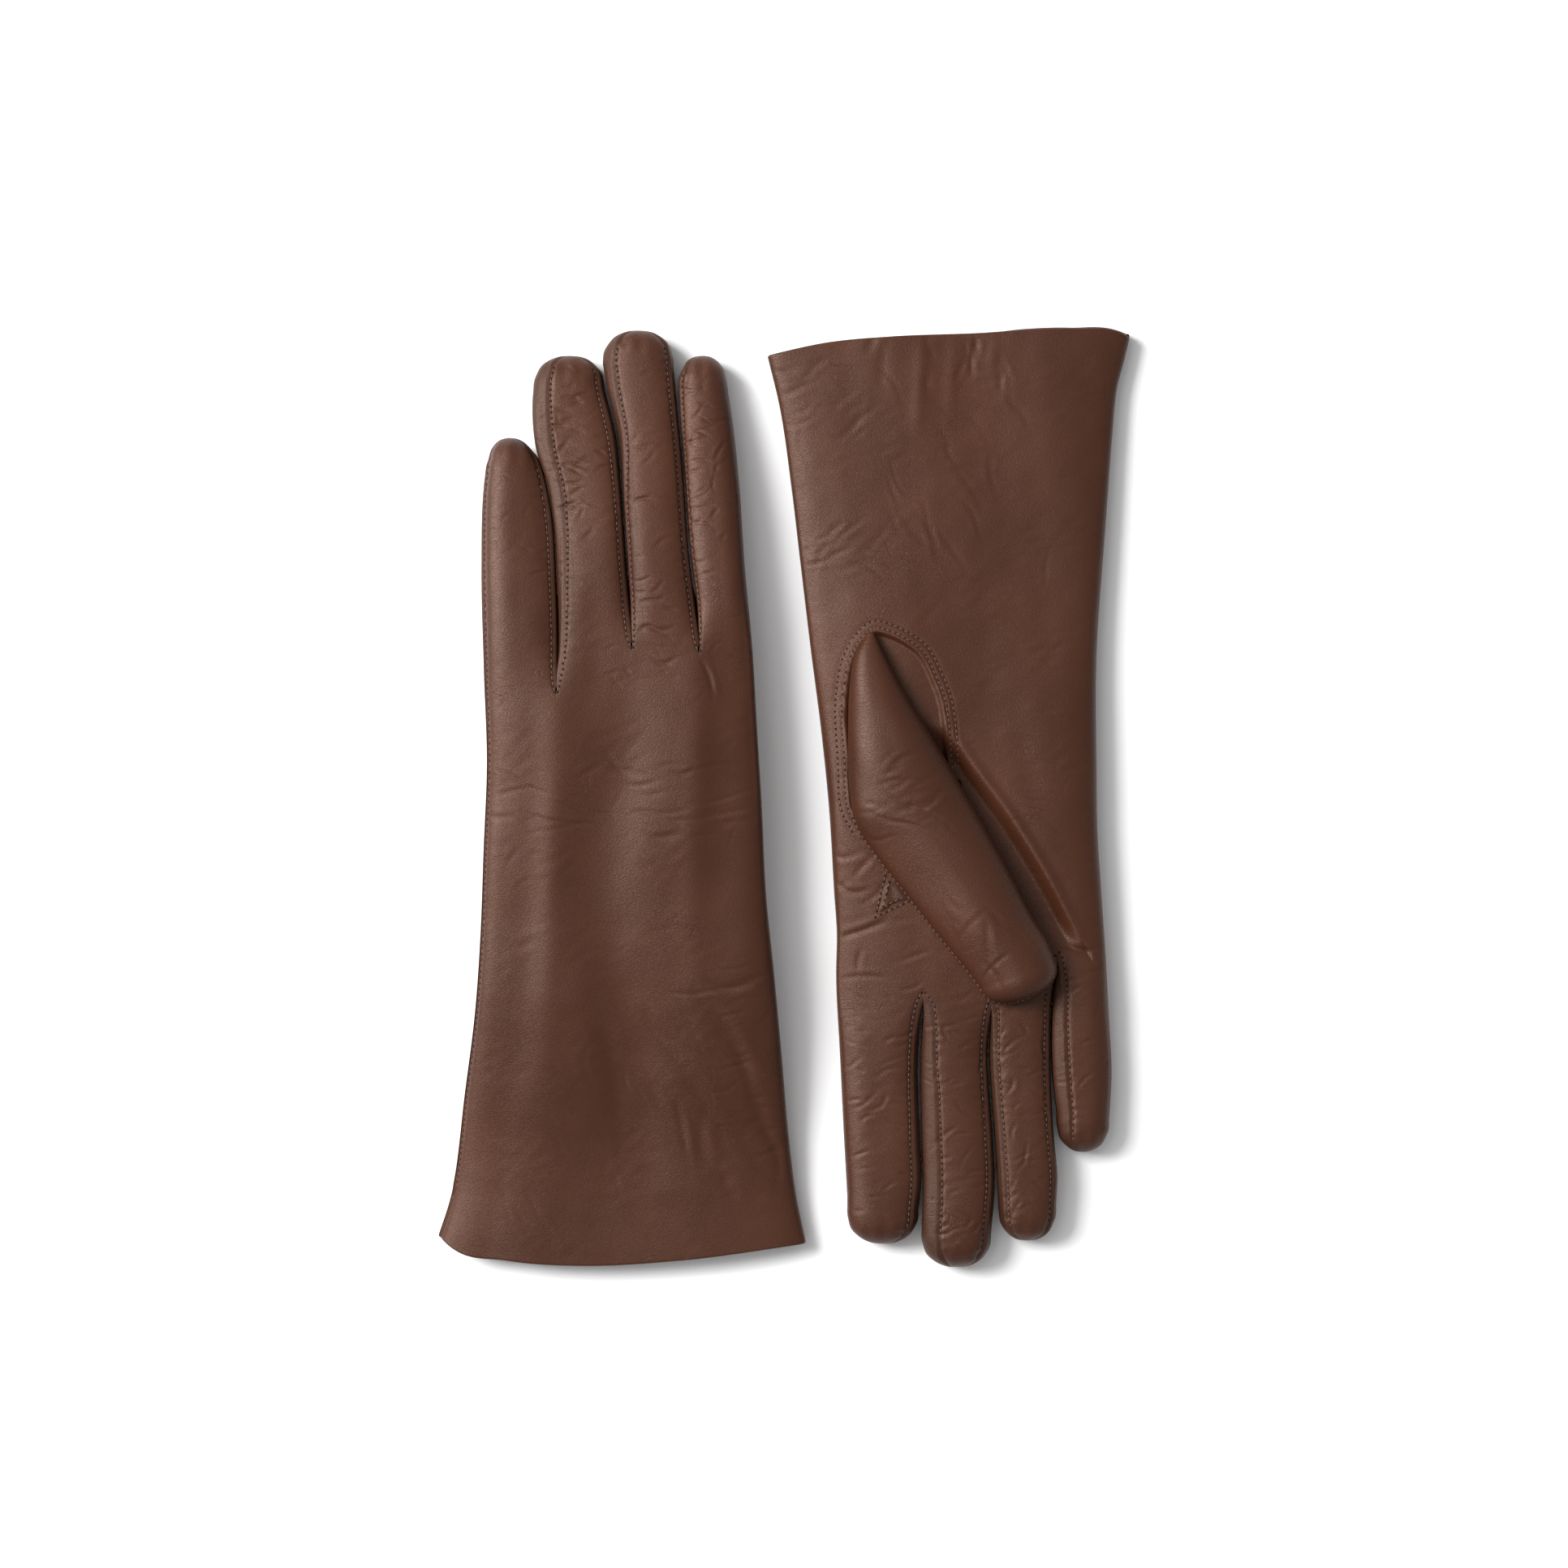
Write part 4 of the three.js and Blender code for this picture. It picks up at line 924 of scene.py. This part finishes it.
def make_finger(g, k):
    side, name = g["name"], FINGERS[k]
    rows = finger_rows(g, name)
    upper = section(g, k, rows, True, UPPER)
    upper = seam_furrow(g, k, rows, upper, UPPER)
    lower = section(g, k, rows, False, LOWER)[:, ::-1]
    ring = np.concatenate([upper, lower], axis=1)
    n_up, n = len(UPPER), ring.shape[1]
    seams = g["seams"][name]
    # columns where the skin ends and a fourchette starts, in the ring's order: over the top, then below
    left, right = n_up - 4, 3
    if seams[0]:
        left = int(np.argmin(np.abs(UPPER - line(seams[0])(rows[-1]).item())))
    if seams[1]:
        right = int(np.argmin(np.abs(UPPER - line(seams[1])(rows[-1]).item())))
    has_left, has_right = k > 0, k < 3
    pieces = []
    low_left, low_right = n_up + 4, n - 5

    # below its slit a column of the fourchette still belongs to the hand's skin
    def opened(column, slit):
        return g["slits"][slit]["upper" if column < n_up or column >= n else "lower"] - 0.6

    part = {}
    for i, row in enumerate(rows[:-1]):
        for j in range(n):
            kind = "upper" if j < n_up - 1 else "lower"
            if has_left and left <= j < low_left and row > opened(j, k - 1):
                kind = "inner"
            elif has_right and (j >= low_right or j < right) and row > opened(j, k):
                kind = "outer"
            nxt = (j + 1) % n
            part.setdefault(kind, []).append((i * n + j, (i + 1) * n + j, (i + 1) * n + nxt, i * n + nxt))
    top, under = ("palm", "back") if g["palm_up"] else ("back", "palm")
    row_points = place(g, ring)
    # the fourchettes take the darker leather, painted shade in the slits between the fingers
    names = {"upper": (top, SKIN, "leather"), "lower": (under, SKIN, "leather"),
             "inner": ("fourchette_inner", SHADED_GUSSET_LEATHER, "gusset_leather"),
             "outer": ("fourchette_outer", SHADED_GUSSET_LEATHER, "gusset_leather")}
    for kind, faces in part.items():
        end, material, slot = names[kind]
        obj = make_mesh(f"{side}_{name}_{end}_skin", row_points, np.array(faces), material)
        stand_in(obj, slot, f"{side}_{name}_{end}")
        pieces.append(obj)
    # lining sleeve
    coarse = np.arange(KNUCKLE if k else LITTLE_KNUCKLE, g["tips"][name] - 5, 3.0)
    halves = [skins(g, coarse, True, UPPER[::5], (k,)), skins(g, coarse, False, LOWER[::4], (k,))]
    sleeve = np.concatenate(halves, axis=1)
    middle = sleeve.mean(1, keepdims=True)
    sleeve = middle + (sleeve - middle) * 0.78
    narrower = sleeve[-1:] * 0.4 + middle[-1:] * 0.6 + [0, 1.6, 0]
    sleeve = np.concatenate([sleeve, narrower, middle[-1:] + 0 * sleeve[-1:] + [0, 2.0, 0]])
    faces = grid_faces(len(sleeve), sleeve.shape[1], True)
    lining = make_mesh(f"{side}_{name}_lining", place(g, sleeve), faces, KNIT)
    stand_in(lining, "lining", f"{side}_{name}_lining")
    bend(g, lining, "finger", name)
    # seams
    threads = []
    for j, seam in enumerate(seams):
        if not seam:
            continue
        r, c = pitch_rows(upper, rows, UPPER, seam)
        p, nrm = read_grid(upper, rows, UPPER, r, c)
        which, hole = ("inner", 1.35) if j == 0 else ("outer", 1.0)
        threads.append(stitches(g, f"{side}_{name}_stitches_{which}", p, nrm, hole=hole))
    return pieces, threads


def make_thumb(g):
    """The thumb, folded across the palm: up on a glove lying palm up, below on one lying palm down."""
    side = g["name"]
    n = len(THUMB_FOLD)
    t = np.linspace(0, n - 1, 150)
    rise = spline(THUMB_RISE)

    def even(points, shift):
        fx, fy = (spline([(i, p[k]) for i, p in enumerate(points)]) for k in (0, 1))
        return np.stack([fx(t) + shift, fy(t)], 1)

    fold, seam = even(THUMB_FOLD, 0.9), even(THUMB_SEAM, 0.3)
    across = fold[-1] - seam[-1]
    half_last = np.linalg.norm(across) / 2
    outwards = np.array([across[1], -across[0]]) / np.linalg.norm(across)
    if outwards[1] < 0:
        outwards = -outwards
    caps = np.sin(np.linspace(0, math.pi / 2, 22))[1:]
    centre = (fold[-1] + seam[-1]) / 2
    shares = even_shares(THUMB_ROUND, 14.0, 9.0, 64)
    below = even_shares(THUMB_ROUND, 14.0, 2.0, 30)
    rng = np.random.default_rng(21)
    soft = waves(rng, 8, 14, 40, math.radians(126), 0.5)
    lines = scatter(rng, (2, -14, 26, 6), 14, 0.35, 0.35, 9, 0.3, 0.6)
    lines += scatter(rng, (-26, 30, 6, 56), 10, 2.0, 0.3, 11, 0.3, 0.9)
    lines += [(p, 0.34, 0.55) for p in THUMB_CREASES]
    lines += scatter(rng, (-26, -10, 24, 50), 14, 0.4, 0.5, 6, 0.16, 0.5)

    def surface(shares, upper):
        c = shares[None, :]
        mid, halfv = (fold + seam) / 2, (seam - fold) / 2
        plan = mid[:, None, :] + halfv[:, None, :] * c[..., None]
        h = rise(t)[:, None] * g["thumb_height"]
        # higher on the fold's side, thin along the seam
        lean = 1.0 - 0.30 * smooth((c + 0.1) / 1.1) * smooth((t[:, None] - 4.5) / 1.5)
        z = 0.5 + h * oval(c, THUMB_ROUND) * lean if upper else 0.5 - 0.45 * oval(c, THUMB_ROUND) + 0 * h
        cap_plan, cap_z = [], []
        for s in caps:
            w = np.sqrt(max(1 - s**2.2, 0)) if s < 1 else 0.0
            cap_plan.append(centre + outwards * THUMB_TIP * s + (halfv[-1] * w)[None, :] * shares[:, None])
            top = (1 - s**2.6) ** 0.5 if s < 1 else 0.0
            cap_z.append(z[-1] * top + 0.5 * (1 - top) if upper else z[-1])
        plan = np.concatenate([plan, np.array(cap_plan)])
        z = np.concatenate([z, np.array(cap_z)])
        if upper:
            x, y = plan[..., 0], plan[..., 1]
            extra = 0.22 * soft(x, y)
            for p, d, w in lines:
                extra += crease(x, y, p, d, w)
            z = z + extra * oval(c, THUMB_ROUND) * smooth(z / 4)
        return np.concatenate([plan, z[..., None]], -1)

    top, bottom = surface(shares, True), surface(below, False)
    # shares run from the seam's side to the fold's: a furrow where the seam's stitches lie
    k = np.arange(len(top))[:, None]
    step = np.linalg.norm(np.diff(top, axis=1), axis=2)
    run = np.concatenate([np.zeros((len(top), 1)), np.cumsum(step, axis=1)], 1)
    on = smooth((k - 68) / 8.0)
    top[..., 2] -= on * 0.25 * np.exp(-(((run - 1.3) / 0.4) ** 2))
    ring = np.concatenate([top, bottom[:, ::-1]], axis=1)
    ring = np.concatenate([0 * ring[:1] + ring[:1].mean(1, keepdims=True), ring])
    ring[..., 2] = g["level"] + (ring[..., 2] if g["palm_up"] else -ring[..., 2])
    faces = grid_faces(len(ring), ring.shape[1], True)
    if not g["palm_up"]:
        faces = faces[:, ::-1]
    obj = make_mesh(f"{side}_thumb_leather", place(g, ring), faces, SKIN)
    stand_in(obj, "leather", f"{side}_thumb_root", f"{side}_thumb_leather")
    # lining
    coarse = ring[10:-16:7, ::4]
    mid = coarse.mean(1, keepdims=True)
    inner = mid + (coarse - mid) * 0.8
    inner = np.concatenate([mid[:1] + 0 * inner[:1], inner, mid[-1:] + 0 * inner[-1:]])
    lf = grid_faces(len(inner), inner.shape[1], True)
    lf = lf if g["palm_up"] else lf[:, ::-1]
    lining = make_mesh(f"{side}_thumb_lining", place(g, inner), lf, KNIT)
    stand_in(lining, "lining", f"{side}_thumb_lining")
    # stitches along the seam and round the tip
    rim = np.array([top[i, np.searchsorted(run[i], 1.3)] for i in range(72, len(top) - 5)])
    end = len(top) - 6
    cap = top[end, 4:-14:2]
    curve = np.concatenate([rim, cap[1:]])
    r = np.concatenate([[0], np.cumsum(np.linalg.norm(np.diff(curve, axis=0), axis=1))])
    even = np.arange(0, r[-1], PITCH)
    pts = np.stack([np.interp(even, r, curve[:, a]) for a in range(3)], 1)
    nrm = np.tile([0, 0, 1.0], (len(pts), 1))
    pts[:, 2] = g["level"] + (pts[:, 2] if g["palm_up"] else -pts[:, 2])
    if not g["palm_up"]:
        nrm = -nrm
    threads = stitches(g, f"{side}_thumb_stitches", pts, nrm, sink=0.08)
    for o in (obj, lining, threads):
        bend(g, o, "thumb")


def palm_height(g, x, y):
    """Height of the finished palm at points of the plan, whichever way it faces."""
    if g["palm_up"]:
        return hand_height(g, y, x, True) + relief(g, x, y)
    return hand_height(g, y, x, False)


def make_opening(g):
    """Two rows of stitches round the thumb's opening, and the gusset beside the thumb."""
    side = g["name"]
    out = 1 if g["palm_up"] else -1

    def palm_stitches(name, p, rise, **sizes):
        pts = np.column_stack([p, palm_height(g, p[:, 0], p[:, 1]) + rise * out])
        normals = np.tile([0, 0, float(out)], (len(pts), 1))
        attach(stitches(g, f"{side}_{name}", pts, normals, **sizes), f"{side}_hand")

    for i, off in enumerate((0.0, -2.0)):
        p = offset_path(path(OPENING, PITCH), off)
        palm_stitches(f"thumb_opening_stitches_{i + 1}", p, 0.0, hole=1.2)
    # gusset: a small raised triangle
    a, b, c = (np.array(p) for p in GUSSET)
    n = 26
    u = np.linspace(0, 1, n)
    left = a + (b - a) * u[:, None]
    right = a + (c - a) * u[:, None]
    v = np.linspace(0, 1, n)
    plan = left[:, None] * (1 - v[None, :, None]) + right[:, None] * v[None, :, None]
    x, y = plan[..., 0], plan[..., 1]
    edge = np.minimum(np.minimum(v, 1 - v)[None, :] * u[:, None], (1 - u)[:, None] + 0 * v[None, :])
    pleat = 0.3 * np.exp(-(((v - 0.5)[None, :] * u[:, None] / 0.12) ** 2))
    bulge = 0.55 * smooth(edge * 5) - 0.1 - pleat
    grid = np.stack([x, y, palm_height(g, x, y) + bulge * out], -1)
    faces = grid_faces(n, n)
    faces = faces if g["palm_up"] else faces[:, ::-1]
    obj = make_mesh(f"{side}_thumb_gusset", place(g, grid), faces, SHADED_GUSSET_LEATHER)
    solid = obj.modifiers.new("thickness", "SOLIDIFY")
    solid.thickness = 0.0005
    solid.offset = -1
    stand_in(obj, "gusset_leather", f"{side}_thumb_gusset")
    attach(obj, f"{side}_hand")
    mid = (a + b + c) / 3
    for i, (grow, rise) in enumerate(((1.0, 0.05), (0.52, 0.3))):
        f, m, e = (mid + (q - mid) * grow for q in (a, b, c))
        p, q = path([f, (f + m) / 2, m], PITCH), path([m, (m + e) / 2, e], PITCH)
        palm_stitches(f"gusset_stitches_{i + 1}", np.concatenate([p, q[1:]]), rise)


def make_glove(g):
    finish_plan(g)
    side = g["name"]
    skin, hand_rows, hand_upper = make_hand(g)
    joined = [skin]
    bending = []
    for k in range(4):
        pieces, threads = make_finger(g, k)
        joined += pieces
        bending += [(o, FINGERS[k]) for o in pieces + threads]
    share_normals(joined)
    for o, finger in bending:
        bend(g, o, "finger", finger)
    bend(g, skin, "wrist")
    make_thumb(g)
    make_opening(g)
    if not g["palm_up"]:
        # the seam along the little finger's side of the hand
        block = hand_upper[:, -len(UPPER):]
        r, c = pitch_rows(block, hand_rows, UPPER, g["seams"]["little"][0])
        p, nrm = read_grid(block, hand_rows, UPPER, r, c)
        o = stitches(g, f"{side}_side_seam_stitches", p, nrm, hole=1.5)
        bend(g, o, "wrist")


# ---- Camera, light and floor ------------------------------------------------------------------
view = bpy.data.cameras.new("camera")
view.lens = 118.8
view.sensor_width = 36
view.clip_end = 20
camera = add("camera", view)
camera.location = (0, 0.0045, 1.6)
bpy.context.scene.camera = camera
bpy.context.scene.view_settings.view_transform = "Standard"

for glove in (LEFT, RIGHT):
    make_glove(glove)

floor_material = bpy.data.materials.new("pale_floor")
floor_material.use_nodes = True
floor_inputs = floor_material.node_tree.nodes["Principled BSDF"].inputs
floor_inputs["Base Color"].default_value = (0.9, 0.9, 0.9, 1)
floor_inputs["Roughness"].default_value = 0.9
floor_mesh = bpy.data.meshes.new("floor")
corners = [(x, y, -0.0004) for x, y in ((-3, -3), (3, -3), (3, 3), (-3, 3))]
floor_mesh.from_pydata(corners, [], [(0, 1, 2, 3)])
floor_mesh.materials.append(floor_material)
add("floor", floor_mesh)


def area_light(name, at, look, size, power):
    data = bpy.data.lights.new(name, "AREA")
    data.size = size
    data.energy = power
    obj = add(name, data)
    obj.location = at
    direction = np.array(look) - np.array(at)
    obj.rotation_euler = Vector(direction).to_track_quat("-Z", "Y").to_euler()


area_light("key", (-1.25, 0.55, 1.2), (0, 0, 0), 0.9, 58)
area_light("top", (-0.9, 0.5, 2.2), (0, 0, 0), 1.2, 10)
world = bpy.data.worlds.new("world")
world.use_nodes = True
world.node_tree.nodes["Background"].inputs["Color"].default_value = (1, 1, 1, 1)
world.node_tree.nodes["Background"].inputs["Strength"].default_value = 0.45
bpy.context.scene.world = world
